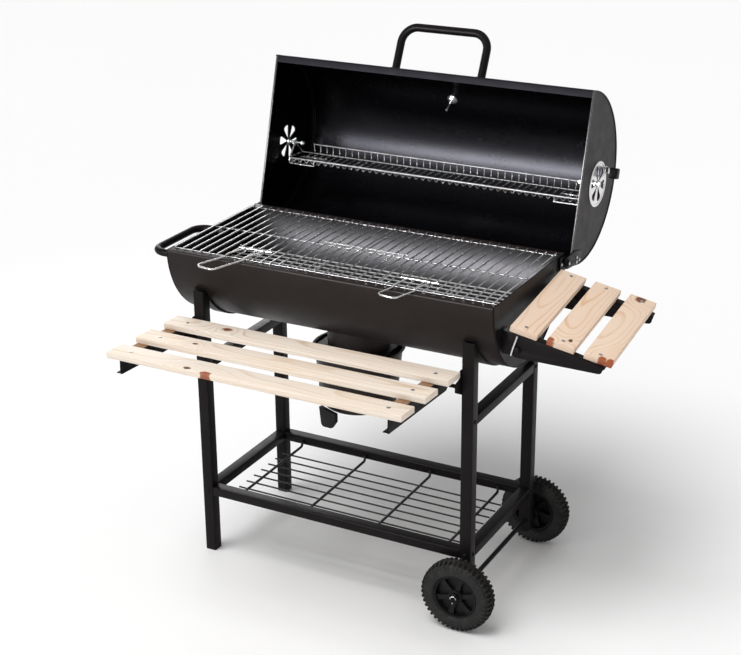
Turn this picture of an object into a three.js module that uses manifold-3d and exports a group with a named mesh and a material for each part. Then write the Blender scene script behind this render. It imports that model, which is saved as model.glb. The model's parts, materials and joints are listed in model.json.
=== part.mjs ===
// A barrel charcoal grill on a wheeled trolley: a half-drum firebox under a hinged half-drum lid,
// on four square legs with two wheels, a slatted front shelf that folds down and a slatted side shelf.
// Millimetres, +X to the side with the wheels, +Y to the back, +Z up. The lid is modelled standing open.

import * as THREE from "three";
import { mergeVertices } from "three/addons/utils/BufferGeometryUtils.js";
import Module from "manifold-3d";

const { PI, cos, sin, sqrt } = Math;
const degrees = (angle) => (angle * PI) / 180;

// ---- driving dimensions ----

const GAP = 0.4; // kept between pieces that touch
const SHEET = 1.5; // pressed steel sheet

// Trolley frame of square tube
const FRAME_X = 646; // over the legs, side to side
const FRAME_Y = 334; // over the legs, front to back
const TUBE = 25;
const LEG_TOP = 616;
const WHEEL_LEG_FOOT = 52; // the two legs that carry the axle stop short of the ground
const RAIL_HEIGHT = 20;
const LOW_RAIL_TOP = 158;
const HIGH_RAIL_TOP = 455;

// Wheels
const WHEEL_R = 78;
const WHEEL_WIDTH = 36;
const WHEEL_Y = 203; // middle of each wheel, either side of the centre
const RIM_R = 47;
const AXLE_X = 313;
const AXLE_R = 5;

// Firebox: the lower half of the drum
const DRUM_R = 177;
const RIM_Z = 700; // its open edge, level with the drum's axis
const BOX_LEFT = -376;
const BOX_RIGHT = 366;
const RIM_FLANGE = 21; // the cooking grates rest on the inner edges of these
const END_LIP = 2;
const ASH_X = -20;
const ASH_HOLE_R = 62;

// Lid: a slightly deeper half drum, closing with its edge just above the rim
const LID_R = 182;
const LID_LEFT = -385;
const LID_RIGHT = 374;
const LID_EDGE_Z = RIM_Z + 5.5;
const LID_AXIS_RISE = 18.8; // centre of its arc above its edge
const LID_FLANGE = 15;
const HINGE_Y = 174.7;
const HINGE_Z = 679.3;
const LID_OPEN = degrees(106);
const PIN_R = 4;
const RUNNING = 0.35; // radial play round the pins

// Vents in the lid's ends, closed pose
const VENT_Y = 10;
const VENT_RISE = 96; // above the lid's edge
const VENT_R = 49;
const PETALS = 6;
const VENT_BOLT_R = 3;
const VENT_BOLT_REACH = 45; // into the lid; the warming rack hangs on it

// Grates
const WIRE = 5;
const GRATE_PITCH = 20.5;
const GRATE_HALF_DEPTH = 158;
const GRATE_CROSS_Y = 152; // the outer two of the three wires under each grate
const CHARCOAL_Z = 607.5;
const CHARCOAL_PITCH = 20.5;

// Warming rack, from the bolts it hangs on
const RACK_FRONT = -28;
const RACK_BACK = 32;
const RACK_DROP = 30;
const RACK_FENCE = 22;
const RACK_SKIRT = 12; // depth of the short rails below its front corners
const RACK_SKIRT_LENGTH = 66;
const RACK_PITCH = 44;

// Handles
const LID_HANDLE_R = 9;
const LID_HANDLE_SPAN = 206;
const LID_HANDLE_REACH = 98;
const LID_HANDLE_ANGLE = degrees(10);
const SIDE_HANDLE_R = 8;
const SIDE_HANDLE_Z = 681;
const SIDE_HANDLE_FRONT = -150;
const SIDE_HANDLE_BACK = 25;
const SIDE_HANDLE_REACH = 56;

// Front shelf: three slats side to side on two arms that fold down
const SHELF_LEFT = -358;
const SHELF_RIGHT = 299;
const SHELF_BACK_Y = -175;
const SHELF_TOP = 556;
const SHELF_RISE = degrees(2.5); // its front edge stands a little high
const SLAT = 54;
const SLAT_PITCH = 98.5;
const SLAT_THICK = 13;
const ARM_DEPTH = 31;
const ARM_SHEET = 2;
const ARM_LEFT_X = -326; // inner face of the left arm; the right one is ARM_RIGHT_X
const ARM_RIGHT_X = 271;
const SHELF_PIVOT_Y = -180;
const SHELF_PIVOT_Z = 526;

// Side shelf: three slats front to back, sloping gently down and out, and set a little askew
const SIDE_X = 381.7;
const SIDE_TOP = 667.2;
const SIDE_SLOPE = degrees(12);
const SIDE_TILT = degrees(3.1); // up to the back
const SIDE_SKEW = degrees(2.8); // its back end stands nearer to the firebox
const SIDE_FRONT_Y = -147;
const SIDE_BACK_Y = 147;
const SIDE_SLAT = 56;
const SIDE_PITCH = 75.5;
const SIDE_ARM_BOTTOM = 591;
const SIDE_PIVOT_X = 402;
const SIDE_PIVOT_Z = 609;

// ---- derived places ----

const legX = FRAME_X / 2 - TUBE; // inner faces of the legs
const legY = FRAME_Y / 2 - TUBE;
const boxMiddle = (BOX_LEFT + BOX_RIGHT) / 2;
const lidMiddle = (LID_LEFT + LID_RIGHT) / 2;
const lidAxisZ = LID_EDGE_Z + LID_AXIS_RISE;
const lidEdgeAngle = Math.asin(LID_AXIS_RISE / LID_R);
const ventZ = LID_EDGE_Z + VENT_RISE;
const wireZ = RIM_Z + GAP + WIRE / 2; // middle of the cooking grates' top wires

// ---- solids ----

const wasm = await Module();
wasm.setup();

function toSolid(geometry) {
  const loose = geometry.index ? geometry.toNonIndexed() : geometry;
  const bare = new THREE.BufferGeometry().setAttribute("position", loose.getAttribute("position"));
  const merged = mergeVertices(bare, 1e-4);
  return new wasm.Manifold(
    new wasm.Mesh({
      numProp: 3,
      vertProperties: merged.attributes.position.array,
      triVerts: new Uint32Array(merged.index.array),
    }),
  );
}

function toGeometry(solid) {
  const mesh = solid.getMesh();
  return new THREE.BufferGeometry()
    .setAttribute("position", new THREE.BufferAttribute(mesh.vertProperties, 3))
    .setIndex(new THREE.BufferAttribute(mesh.triVerts, 1));
}

const join = (...pieces) => toGeometry(pieces.map(toSolid).reduce((a, b) => a.add(b)));

const cut = (piece, ...tools) =>
  toGeometry(tools.map(toSolid).reduce((a, b) => a.subtract(b), toSolid(piece)));

// ---- shapes ----

/** A block between two opposite corners. */
function block([x0, y0, z0], [x1, y1, z1]) {
  const size = [x1 - x0, y1 - y0, z1 - z0].map(Math.abs);
  return new THREE.BoxGeometry(...size).translate((x0 + x1) / 2, (y0 + y1) / 2, (z0 + z1) / 2);
}

function arc(centreA, centreB, radius, from, to, steps) {
  return Array.from({ length: steps + 1 }, (_, i) => {
    const angle = from + ((to - from) * i) / steps;
    return [centreA + radius * cos(angle), centreB + radius * sin(angle)];
  });
}

function extrude(outline, depth, holes = []) {
  const shape = new THREE.Shape(outline.map(([a, b]) => new THREE.Vector2(a, b)));
  shape.holes = holes.map((hole) => new THREE.Path(hole.map(([a, b]) => new THREE.Vector2(a, b))));
  return new THREE.ExtrudeGeometry(shape, { depth, bevelEnabled: false });
}

/** An outline in Y and Z, filled from x0 to x1. */
function plateX(outline, x0, x1, holes) {
  const turn = new THREE.Matrix4().set(0, 0, 1, 0, 1, 0, 0, 0, 0, 1, 0, 0, 0, 0, 0, 1);
  return extrude(outline, x1 - x0, holes).applyMatrix4(turn).translate(x0, 0, 0);
}

/** An outline in X and Z, filled from y0 to y1. */
function plateY(outline, y0, y1, holes) {
  return extrude(outline, y1 - y0, holes).rotateX(PI / 2).translate(0, y1, 0);
}

/** A round bar between two points. */
function rod(from, to, radius, sides = 12) {
  const start = new THREE.Vector3(...from);
  const along = new THREE.Vector3(...to).sub(start);
  const length = along.length();
  const turn = new THREE.Quaternion().setFromUnitVectors(new THREE.Vector3(0, 1, 0), along.normalize());
  const middle = start.addScaledVector(along, length / 2);
  return new THREE.CylinderGeometry(radius, radius, length, sides)
    .applyQuaternion(turn)
    .translate(middle.x, middle.y, middle.z);
}

/** A tube of the given radius along straight runs with rounded corners. */
function bentTube(corners, bend, radius, sides, steps) {
  const points = corners.map((corner) => new THREE.Vector3(...corner));
  const path = new THREE.CurvePath();
  let last = points[0];
  for (let i = 1; i < points.length - 1; i++) {
    const before = points[i].clone().addScaledVector(points[i - 1].clone().sub(points[i]).normalize(), bend);
    const after = points[i].clone().addScaledVector(points[i + 1].clone().sub(points[i]).normalize(), bend);
    path.add(new THREE.LineCurve3(last, before));
    path.add(new THREE.QuadraticBezierCurve3(before, points[i], after));
    last = after;
  }
  path.add(new THREE.LineCurve3(last, points.at(-1)));
  const section = new THREE.Shape(
    arc(0, 0, radius, 0, 2 * PI, sides)
      .slice(0, -1)
      .map(([a, b]) => new THREE.Vector2(a, b)),
  );
  return new THREE.ExtrudeGeometry(section, { steps, extrudePath: path });
}

/** A closed profile of [radius, height] turned about the Y axis. */
function turned(profile, segments) {
  const points = [...profile, profile[0]].map(([r, h]) => new THREE.Vector2(r, h));
  return new THREE.LatheGeometry(points, segments);
}

// Square-section wires, each along one axis
const wireAlongX = (x0, x1, y, z, d = WIRE) => block([x0, y - d / 2, z - d / 2], [x1, y + d / 2, z + d / 2]);
const wireAlongY = (y0, y1, x, z, d = WIRE) => block([x - d / 2, y0, z - d / 2], [x + d / 2, y1, z + d / 2]);
const wireAlongZ = (z0, z1, x, y, d = WIRE) => block([x - d / 2, y - d / 2, z0], [x + d / 2, y + d / 2, z1]);

/** Evenly spaced values from first to last, about the given pitch apart. */
function spaced(first, last, pitch) {
  const count = Math.round((last - first) / pitch);
  return Array.from({ length: count + 1 }, (_, i) => first + ((last - first) * i) / count);
}

// ---- materials ----

const finish = (color, roughness, metalness) => new THREE.MeshStandardMaterial({ color, roughness, metalness });
const bodyPaint = finish(0x2b2625, 0.45, 0.3);
const capPaint = finish(0x454245, 0.5, 0.3);
const framePaint = finish(0x242223, 0.5, 0.3);
const chrome = finish(0xd4d6d8, 0.2, 1);
const blackWire = finish(0x1c1c1d, 0.5, 0.4);
const pine = finish(0xf0dcc2, 0.7, 0);
const pineShade = finish(0xb98e66, 0.75, 0);
const rubber = finish(0x191818, 0.85, 0);
const blackPlastic = finish(0x151515, 0.6, 0);
const zinc = finish(0xb9bcc0, 0.35, 1);

const grill = new THREE.Group();
const lid = new THREE.Group();

function add(parent, name, geometry, material) {
  const mesh = new THREE.Mesh(geometry, material);
  mesh.name = name;
  parent.add(mesh);
  return mesh;
}

// ---- firebox ----

function drumRing(radius, from, to, steps, thick = SHEET, centreZ = RIM_Z) {
  const outer = arc(0, centreZ, radius, from, to, steps);
  const inner = arc(0, centreZ, radius - thick, to, from, steps);
  return [...outer, ...inner];
}

function fireboxShell() {
  const left = BOX_LEFT + SHEET;
  const right = BOX_RIGHT - SHEET;
  const shell = plateX(drumRing(DRUM_R, PI, 2 * PI, 28), left, right);
  const parts = [shell];
  for (const side of [-1, 1]) {
    const wall = side * (DRUM_R - SHEET / 2);
    parts.push(block([left, wall, RIM_Z - SHEET], [right, side * (DRUM_R - RIM_FLANGE), RIM_Z]));
  }
  const ashHole = rod([ASH_X, 0, RIM_Z - DRUM_R - 30], [ASH_X, 0, RIM_Z - 100], ASH_HOLE_R, 32);
  return cut(join(...parts), ashHole);
}

/** A half-round end with its lip turned outwards; outward is -1 on the left and 1 on the right. */
function fireboxEnd(face, outward) {
  const disc = arc(0, RIM_Z, DRUM_R, PI, 2 * PI, 28);
  const inner = face - outward * (SHEET - GAP / 2);
  const plate = plateX(disc, Math.min(inner, face), Math.max(inner, face));
  const lipEnd = face + outward * END_LIP;
  const lipStart = face - outward * 0.5;
  const lip = plateX(drumRing(DRUM_R, PI, 2 * PI, 28), Math.min(lipStart, lipEnd), Math.max(lipStart, lipEnd));
  return join(plate, lip);
}

add(grill, "firebox_shell", fireboxShell(), bodyPaint);
add(grill, "firebox_end_left", fireboxEnd(BOX_LEFT, -1), bodyPaint);
add(grill, "firebox_end_right", fireboxEnd(BOX_RIGHT, 1), bodyPaint);

// ---- ash collar and cup ----

const COLLAR_Z = 488; // underside of the collar's square flange
const COLLAR_HALF = 80;
const CUP_TOP_R = 94;
const CUP_BOTTOM_R = 82;
const CUP_BOTTOM = 354;

function ashCollar() {
  const top = RIM_Z - DRUM_R + 60;
  const outer = rod([ASH_X, 0, COLLAR_Z + 0.2], [ASH_X, 0, top], ASH_HOLE_R + 4, 32);
  const square = [
    [-1, -1],
    [1, -1],
    [1, 1],
    [-1, 1],
  ].map(([a, b]) => [ASH_X + a * COLLAR_HALF, b * COLLAR_HALF]);
  const flange = extrude(square, 2).translate(0, 0, COLLAR_Z);
  const bore = rod([ASH_X, 0, COLLAR_Z - 5], [ASH_X, 0, top + 5], ASH_HOLE_R + 2, 32);
  const drum = plateX(arc(0, RIM_Z, DRUM_R + GAP, 0, 2 * PI, 56).slice(0, -1), ASH_X - 150, ASH_X + 150);
  return cut(join(outer, flange), bore, drum);
}

function ashCup() {
  const top = COLLAR_Z - GAP;
  const profile = [
    [0, CUP_BOTTOM],
    [CUP_BOTTOM_R - 22, CUP_BOTTOM],
    [CUP_BOTTOM_R - 6, CUP_BOTTOM + 5],
    [CUP_BOTTOM_R, CUP_BOTTOM + 18],
    [CUP_TOP_R, top - SHEET],
    [CUP_TOP_R + 6, top - SHEET],
    [CUP_TOP_R + 6, top],
    [CUP_TOP_R - SHEET, top],
    [CUP_BOTTOM_R - SHEET, CUP_BOTTOM + 18],
    [CUP_BOTTOM_R - 7, CUP_BOTTOM + 6.5],
    [CUP_BOTTOM_R - 22.5, CUP_BOTTOM + SHEET],
    [0, CUP_BOTTOM + SHEET],
  ].map(([r, h]) => new THREE.Vector2(r, h));
  return new THREE.LatheGeometry(profile, 32).rotateX(PI / 2).translate(ASH_X, 0, 0);
}

function ashCupHandle() {
  const outline = [
    [-26, 19],
    [-22, -10],
    ...arc(-12, -16, 9, PI, 1.5 * PI, 4),
    [10, -22],
    [23, -4],
    [23, 15],
  ];
  const bearing = degrees(-107); // round the cup, from +X
  const middle = CUP_BOTTOM_R + 9;
  return plateY(outline, -5, 5)
    .rotateZ(bearing + PI / 2)
    .translate(ASH_X + middle * cos(bearing), middle * sin(bearing), CUP_BOTTOM - 6);
}

add(grill, "ash_collar", ashCollar(), bodyPaint);
add(grill, "ash_cup", ashCup(), bodyPaint);
add(grill, "ash_cup_handle", ashCupHandle(), blackPlastic);

// ---- side handle ----

const sideHandleX = BOX_LEFT - SIDE_HANDLE_REACH;
add(
  grill,
  "side_handle",
  bentTube(
    [
      [BOX_LEFT - GAP, SIDE_HANDLE_FRONT, SIDE_HANDLE_Z],
      [sideHandleX, SIDE_HANDLE_FRONT, SIDE_HANDLE_Z],
      [sideHandleX, SIDE_HANDLE_BACK, SIDE_HANDLE_Z],
      [BOX_LEFT - GAP, SIDE_HANDLE_BACK, SIDE_HANDLE_Z],
    ],
    30,
    SIDE_HANDLE_R,
    8,
    20,
  ),
  framePaint,
);

// ---- lid, in its closed place ----

function lidShell() {
  const left = LID_LEFT + SHEET + GAP / 2;
  const right = LID_RIGHT - SHEET - GAP / 2;
  const ring = drumRing(LID_R, -lidEdgeAngle, PI + lidEdgeAngle, 32, SHEET, lidAxisZ);
  const edgeY = -LID_R * cos(lidEdgeAngle);
  const flange = block([left, edgeY + 0.5, LID_EDGE_Z], [right, edgeY + LID_FLANGE, LID_EDGE_Z + SHEET]);
  return cut(join(plateX(ring, left, right), flange), thermometerAxis(LID_R - 20, LID_R + 20, 4));
}

/** One wedge-shaped opening of a vent, widening away from its centre at the given angle. */
function petal(centreA, centreB, angle) {
  const leaf = [
    [8, -1.2],
    [34, -10],
    [39, -5.5],
    [39, 5.5],
    [34, 10],
    [8, 1.2],
  ];
  return leaf.map(([along, across]) => [
    centreA + along * cos(angle) - across * sin(angle),
    centreB + along * sin(angle) + across * cos(angle),
  ]);
}

const ventPetals = () =>
  Array.from({ length: PETALS }, (_, i) => petal(VENT_Y, ventZ, degrees(90) + (i * 2 * PI) / PETALS));

function lidEnd(face, outward) {
  const outline = arc(0, lidAxisZ, LID_R, -lidEdgeAngle, PI + lidEdgeAngle, 32);
  const inner = face - outward * SHEET;
  const boltHole = arc(VENT_Y, ventZ, VENT_BOLT_R + GAP, 0, 2 * PI, 8).slice(0, -1);
  const x = [inner, face].sort((a, b) => a - b);
  return plateX(outline, ...x, [...ventPetals(), boltHole]);
}

function thermometerAxis(from, to, radius, sides = 16) {
  const at = (r) => [lidMiddle, -r * cos(degrees(44)), lidAxisZ + r * sin(degrees(44))];
  return rod(at(from), at(to), radius, sides);
}

function thermometer() {
  const stem = thermometerAxis(LID_R - 38, LID_R + 3, 3, 10);
  const case_ = thermometerAxis(LID_R + 2.6, LID_R + 14, 30, 28);
  return join(stem, case_);
}

function lidHandle() {
  const place = (x, reach) => [
    x,
    -(LID_R + reach) * cos(LID_HANDLE_ANGLE),
    lidAxisZ + (LID_R + reach) * sin(LID_HANDLE_ANGLE),
  ];
  const half = LID_HANDLE_SPAN / 2;
  const corners = [
    place(lidMiddle - half, 1),
    place(lidMiddle - half, LID_HANDLE_REACH),
    place(lidMiddle + half, LID_HANDLE_REACH),
    place(lidMiddle + half, 1),
  ];
  return bentTube(corners, 36, LID_HANDLE_R, 8, 24);
}

function ventDisc(face, outward) {
  const x = [face + outward * GAP, face + outward * (GAP + 1.2)].sort((a, b) => a - b);
  const rim = arc(VENT_Y, ventZ, VENT_R, 0, 2 * PI, 32).slice(0, -1);
  const boltHole = arc(VENT_Y, ventZ, VENT_BOLT_R + GAP, 0, 2 * PI, 8).slice(0, -1);
  return plateX(rim, ...x, [...ventPetals(), boltHole]);
}

/** A block knob on a bent tab, at the disc's edge; the left disc stands one petal round from the right one. */
function ventKnob(face, outward) {
  const disc = face + outward * (GAP + 1.2 + GAP);
  const place = (out, y, z) => [disc + outward * out, VENT_Y + y, ventZ + z];
  const tab = block(place(0, -29, 36), place(14, -20, 39));
  const grip = block(place(9, -37, 33), place(27, -14, 53));
  const knob = join(tab, grip);
  if (outward > 0) {
    return knob;
  }
  return knob.translate(0, -VENT_Y, -ventZ).rotateX(degrees(60)).translate(0, VENT_Y, ventZ);
}

function ventBolt(face, outward) {
  const head = face + outward * (GAP + 1.2 + GAP);
  const shank = rod([head + outward, VENT_Y, ventZ], [face - outward * VENT_BOLT_REACH, VENT_Y, ventZ], VENT_BOLT_R);
  const cap = rod([head, VENT_Y, ventZ], [head + outward * 4, VENT_Y, ventZ], 6.5, 6);
  return join(shank, cap);
}

/** The strap bolted to the lid's end, with the eye that turns on the hinge pin. */
function hingeStrap(face, outward) {
  const eye = arc(HINGE_Y, HINGE_Z, 13, PI, 2 * PI + degrees(10), 12);
  const outline = [...eye, [179, LID_EDGE_Z + 30], [172, LID_EDGE_Z + 48], [150, LID_EDGE_Z + 48], [150, LID_EDGE_Z + 10]];
  const hole = arc(HINGE_Y, HINGE_Z, PIN_R + RUNNING, 0, 2 * PI, 16).slice(0, -1);
  const x = [face + outward * GAP, face + outward * (GAP + 3)].sort((a, b) => a - b);
  return plateX(outline, ...x, [hole]);
}

add(lid, "lid_shell", lidShell(), bodyPaint);
add(lid, "lid_handle", lidHandle(), framePaint);
add(lid, "thermometer", thermometer(), zinc);
for (const [side, face, outward] of [
  ["left", LID_LEFT, -1],
  ["right", LID_RIGHT, 1],
]) {
  add(lid, `lid_end_${side}`, lidEnd(face, outward), capPaint);
  add(lid, `vent_disc_${side}`, ventDisc(face, outward), chrome);
  add(lid, `vent_knob_${side}`, ventKnob(face, outward), blackPlastic);
  add(lid, `vent_bolt_${side}`, ventBolt(face, outward), zinc);
  add(lid, `hinge_strap_${side}`, hingeStrap(face, outward), framePaint);
}

// The lid is turned back about its hinge, and its pieces keep their closed coordinates.
lid.position.set(0, -HINGE_Y, -HINGE_Z);
const lidHinge = new THREE.Group();
lidHinge.position.set(0, HINGE_Y, HINGE_Z);
lidHinge.rotation.x = -LID_OPEN;
lidHinge.add(lid);
grill.add(lidHinge);

/** Where a point of the closed lid stands when the lid is open. */
function opened(y, z) {
  const [dy, dz] = [y - HINGE_Y, z - HINGE_Z];
  return [HINGE_Y + dy * cos(LID_OPEN) + dz * sin(LID_OPEN), HINGE_Z - dy * sin(LID_OPEN) + dz * cos(LID_OPEN)];
}

/** The bracket on the firebox's end that holds the hinge pin. */
function hingeBracket(face, outward) {
  const lip = face + outward * (END_LIP + GAP);
  const outline = [
    [150, 664],
    [178, 662],
    ...arc(HINGE_Y, HINGE_Z, 14, degrees(-60), degrees(70), 8),
    [150, 696],
  ];
  const x = [lip, lip + outward * 2.2].sort((a, b) => a - b);
  const strapFace = (outward > 0 ? LID_RIGHT : LID_LEFT) + outward * (GAP + 3 + GAP);
  const pin = rod([lip + outward, HINGE_Y, HINGE_Z], [strapFace + outward, HINGE_Y, HINGE_Z], PIN_R, 16);
  const head = rod([strapFace, HINGE_Y, HINGE_Z], [strapFace + outward * 3.5, HINGE_Y, HINGE_Z], 7, 6);
  return join(plateX(outline, ...x), pin, head);
}

add(grill, "hinge_bracket_left", hingeBracket(BOX_LEFT, -1), framePaint);
add(grill, "hinge_bracket_right", hingeBracket(BOX_RIGHT, 1), framePaint);

// ---- warming rack, hanging level from the vent bolts ----

function warmingRack() {
  const [boltY, boltZ] = opened(VENT_Y, ventZ);
  const left = LID_LEFT + 20;
  const right = LID_RIGHT - 20;
  const front = boltY + RACK_FRONT;
  const back = boltY + RACK_BACK;
  const floor = boltZ - RACK_DROP;
  const thin = 3;
  const pieces = [
    wireAlongX(left, right, front, floor, 4.5),
    wireAlongX(left, left + RACK_SKIRT_LENGTH, front - 3, floor - RACK_SKIRT, thin),
    wireAlongX(right - RACK_SKIRT_LENGTH, right, front - 3, floor - RACK_SKIRT, thin),
    wireAlongX(left, right, back, floor, thin),
    wireAlongX(left, right, back, floor + RACK_FENCE, thin),
  ];
  for (const x of spaced(left + 3, right - 3, RACK_PITCH)) {
    pieces.push(wireAlongY(front, back + 1, x, floor, thin - 0.6));
    pieces.push(wireAlongZ(floor, floor + RACK_FENCE + 0.8, x, back, thin - 0.6));
  }
  for (const x of [left + RACK_SKIRT_LENGTH - 2, right - RACK_SKIRT_LENGTH + 2]) {
    pieces.push(rod([x, front, floor], [x, front - 3, floor - RACK_SKIRT], 1.2, 6));
  }
  for (const x of [left, right]) {
    const ring = plateX(
      arc(boltY, boltZ, VENT_BOLT_R + 4, 0, 2 * PI, 16).slice(0, -1),
      x - 2,
      x + 2,
      [arc(boltY, boltZ, VENT_BOLT_R + 0.8, 0, 2 * PI, 16).slice(0, -1)],
    );
    pieces.push(ring);
    pieces.push(rod([x, boltY - 3.5, boltZ - 3.5], [x, front, floor], 1.7, 8));
    pieces.push(rod([x, boltY + 3.5, boltZ - 3.5], [x, back, floor], 1.7, 8));
    pieces.push(rod([x, front, floor], [x, front - 3, floor - RACK_SKIRT], 1.7, 6));
  }
  return join(...pieces);
}

add(grill, "warming_rack", warmingRack(), chrome);

// ---- grates ----

function cookingGrate(left, right) {
  const low = wireZ - WIRE + 0.5;
  const pieces = [-GRATE_CROSS_Y, 0, GRATE_CROSS_Y].map((y) => wireAlongX(left, right, y, low));
  for (const x of spaced(left + WIRE, right - WIRE, GRATE_PITCH)) {
    pieces.push(wireAlongY(-GRATE_HALF_DEPTH, GRATE_HALF_DEPTH, x, wireZ, WIRE - 0.5));
  }
  return join(...pieces);
}

/** A wire loop for lifting a grate: its bar lies across the grate and its bow stands out over the rim. */
function grateHandle([barX, barY], half, bow) {
  const top = wireZ + WIRE / 2 + GAP + 2;
  const rimTop = RIM_Z + 2.6;
  const [[leftX, leftY], [rightX, rightY]] = bow;
  const bendY = -GRATE_HALF_DEPTH - 1.3; // past the wires' ends it drops, to pass under the shut lid
  const rimY = bendY - 4;
  const along = (x, y, bowX, bowY, at) => x + ((bowX - x) * (at - y)) / (bowY - y);
  const loop = bentTube(
    [
      [barX - half, barY, top],
      [along(barX - half, barY, leftX, leftY, bendY), bendY, top],
      [along(barX - half, barY, leftX, leftY, rimY), rimY, rimTop],
      [leftX, leftY, rimTop],
      [rightX, rightY, rimTop],
      [along(barX + half, barY, rightX, rightY, rimY), rimY, rimTop],
      [along(barX + half, barY, rightX, rightY, bendY), bendY, top],
      [barX + half, barY, top],
    ],
    3,
    2,
    6,
    36,
  );
  return join(loop, wireAlongX(barX - half - 18, barX + half + 18, barY, top, 4));
}

const grateLeft = BOX_LEFT + SHEET + 2;
const grateRight = BOX_RIGHT - SHEET - 2;
add(grill, "cooking_grate_left", cookingGrate(grateLeft, boxMiddle - 1), chrome);
add(grill, "cooking_grate_right", cookingGrate(boxMiddle + 1, grateRight), chrome);
const leftBow = [
  [-266, -236],
  [-221, -243],
];
const rightBow = [
  [136, -213],
  [179, -219],
];
add(grill, "grate_handle_left", grateHandle([-199, -112], 23, leftBow), chrome);
add(grill, "grate_handle_right", grateHandle([184, -120], 25, rightBow), chrome);

function charcoalGrate() {
  const half = 6 * CHARCOAL_PITCH;
  const pieces = spaced(-half, half, CHARCOAL_PITCH).map((y) =>
    wireAlongX(grateLeft, grateRight, y, CHARCOAL_Z + WIRE),
  );
  for (const x of spaced(grateLeft + 40, grateRight - 40, 165)) {
    pieces.push(wireAlongY(-half - 4, half + 4, x, CHARCOAL_Z + 0.5));
  }
  return join(...pieces);
}

add(grill, "charcoal_grate", charcoalGrate(), chrome);

// ---- trolley frame ----

const drumClear = () =>
  plateX(arc(0, RIM_Z, DRUM_R + 4.5, 0, 2 * PI, 72).slice(0, -1), -FRAME_X, FRAME_X);

function leg(sideX, sideY) {
  const foot = sideX > 0 ? WHEEL_LEG_FOOT : 0;
  const post = block([sideX * legX, sideY * legY, foot], [sideX * (legX + TUBE), sideY * (legY + TUBE), LEG_TOP]);
  const tools = [drumClear()];
  if (sideX > 0) {
    tools.push(rod([AXLE_X, -FRAME_Y, WHEEL_R], [AXLE_X, FRAME_Y, WHEEL_R], AXLE_R + GAP, 16));
  }
  return cut(post, ...tools);
}

/** A curved strip under the drum that joins the tops of a front and a rear leg. */
function saddle(side) {
  const strip = drumRing(DRUM_R + 3.8, degrees(207), degrees(333), 24, 3.2);
  const x = [side * legX, side * (legX + TUBE)].sort((a, b) => a - b);
  return plateX(strip, ...x);
}

for (const [side, sideX] of [
  ["left", -1],
  ["right", 1],
]) {
  add(grill, `leg_front_${side}`, leg(sideX, -1), framePaint);
  add(grill, `leg_rear_${side}`, leg(sideX, 1), framePaint);
  add(grill, `saddle_${side}`, saddle(sideX), framePaint);
  for (const [level, top] of [
    ["bottom", LOW_RAIL_TOP],
    ["upper", HIGH_RAIL_TOP],
  ]) {
    const rail = block(
      [sideX * legX, -legY + GAP, top - RAIL_HEIGHT],
      [sideX * (legX + TUBE), legY - GAP, top],
    );
    add(grill, `${level}_rail_${side}`, rail, framePaint);
  }
}
for (const [side, sideY] of [
  ["front", -1],
  ["rear", 1],
]) {
  const rail = block(
    [-legX + GAP, sideY * legY, LOW_RAIL_TOP - RAIL_HEIGHT],
    [legX - GAP, sideY * (legY + TUBE), LOW_RAIL_TOP],
  );
  add(grill, `bottom_rail_${side}`, rail, framePaint);
}

/** The wire shelf between the bottom rails: four stout wires hooked up at their ends carry seven thin ones. */
function bottomRack() {
  const end = legY - GAP - 0.2;
  const stout = 6;
  const z = 135;
  const pieces = spaced(-93, 93, 31).map((y) => wireAlongX(-277, 277, y, z - 4.5, 4));
  for (const x of spaced(-249, 249, 166)) {
    pieces.push(wireAlongY(-end, end, x, z, stout));
    for (const side of [-1, 1]) {
      pieces.push(wireAlongZ(z, z + 16, x, side * (end - stout / 2), stout));
    }
  }
  return join(...pieces);
}

add(grill, "bottom_rack", bottomRack(), blackWire);

// ---- axle and wheels ----

const axleEnd = WHEEL_Y + WHEEL_WIDTH / 2 + 12;
add(grill, "axle", rod([AXLE_X, -axleEnd, WHEEL_R], [AXLE_X, axleEnd, WHEEL_R], AXLE_R, 16), framePaint);

function tyre() {
  const half = WHEEL_WIDTH / 2;
  const profile = [
    [RIM_R + 0.4, -half + 3],
    [RIM_R + 8, -half],
    [WHEEL_R - 8, -half],
    [WHEEL_R, -half + 9],
    [WHEEL_R, half - 9],
    [WHEEL_R - 8, half],
    [RIM_R + 8, half],
    [RIM_R + 0.4, half - 3],
  ];
  return turned(profile, 32);
}

function hub() {
  const half = WHEEL_WIDTH / 2 - 3;
  const rim = turned(
    [
      [RIM_R - 4, -half],
      [RIM_R, -half],
      [RIM_R, half],
      [RIM_R - 4, half],
    ],
    32,
  );
  const boss = turned(
    [
      [AXLE_R + RUNNING, -half - 13],
      [15, -half - 13],
      [16, half],
      [AXLE_R + RUNNING, half],
    ],
    16,
  );
  const spokes = Array.from({ length: 6 }, (_, i) =>
    block([12, -4, -5], [RIM_R - 2, 6, 5]).rotateY((i * PI) / 3 + degrees(15)),
  );
  return join(rim, boss, ...spokes);
}

for (const [side, sideY] of [
  ["front", -1],
  ["rear", 1],
]) {
  const wheel = new THREE.Group();
  wheel.position.set(AXLE_X, sideY * WHEEL_Y, WHEEL_R);
  wheel.rotation.z = sideY < 0 ? PI : 0;
  add(wheel, `tyre_${side}`, tyre(), rubber);
  add(wheel, `hub_${side}`, hub(), blackPlastic);
  grill.add(wheel);
}

// ---- front shelf ----

/** Its pieces are laid out level, with y and z from the back top edge, then tipped up a little. */
const frontShelf = new THREE.Group();
frontShelf.position.set(0, SHELF_BACK_Y, SHELF_TOP);
frontShelf.rotation.x = -SHELF_RISE;
grill.add(frontShelf);

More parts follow.
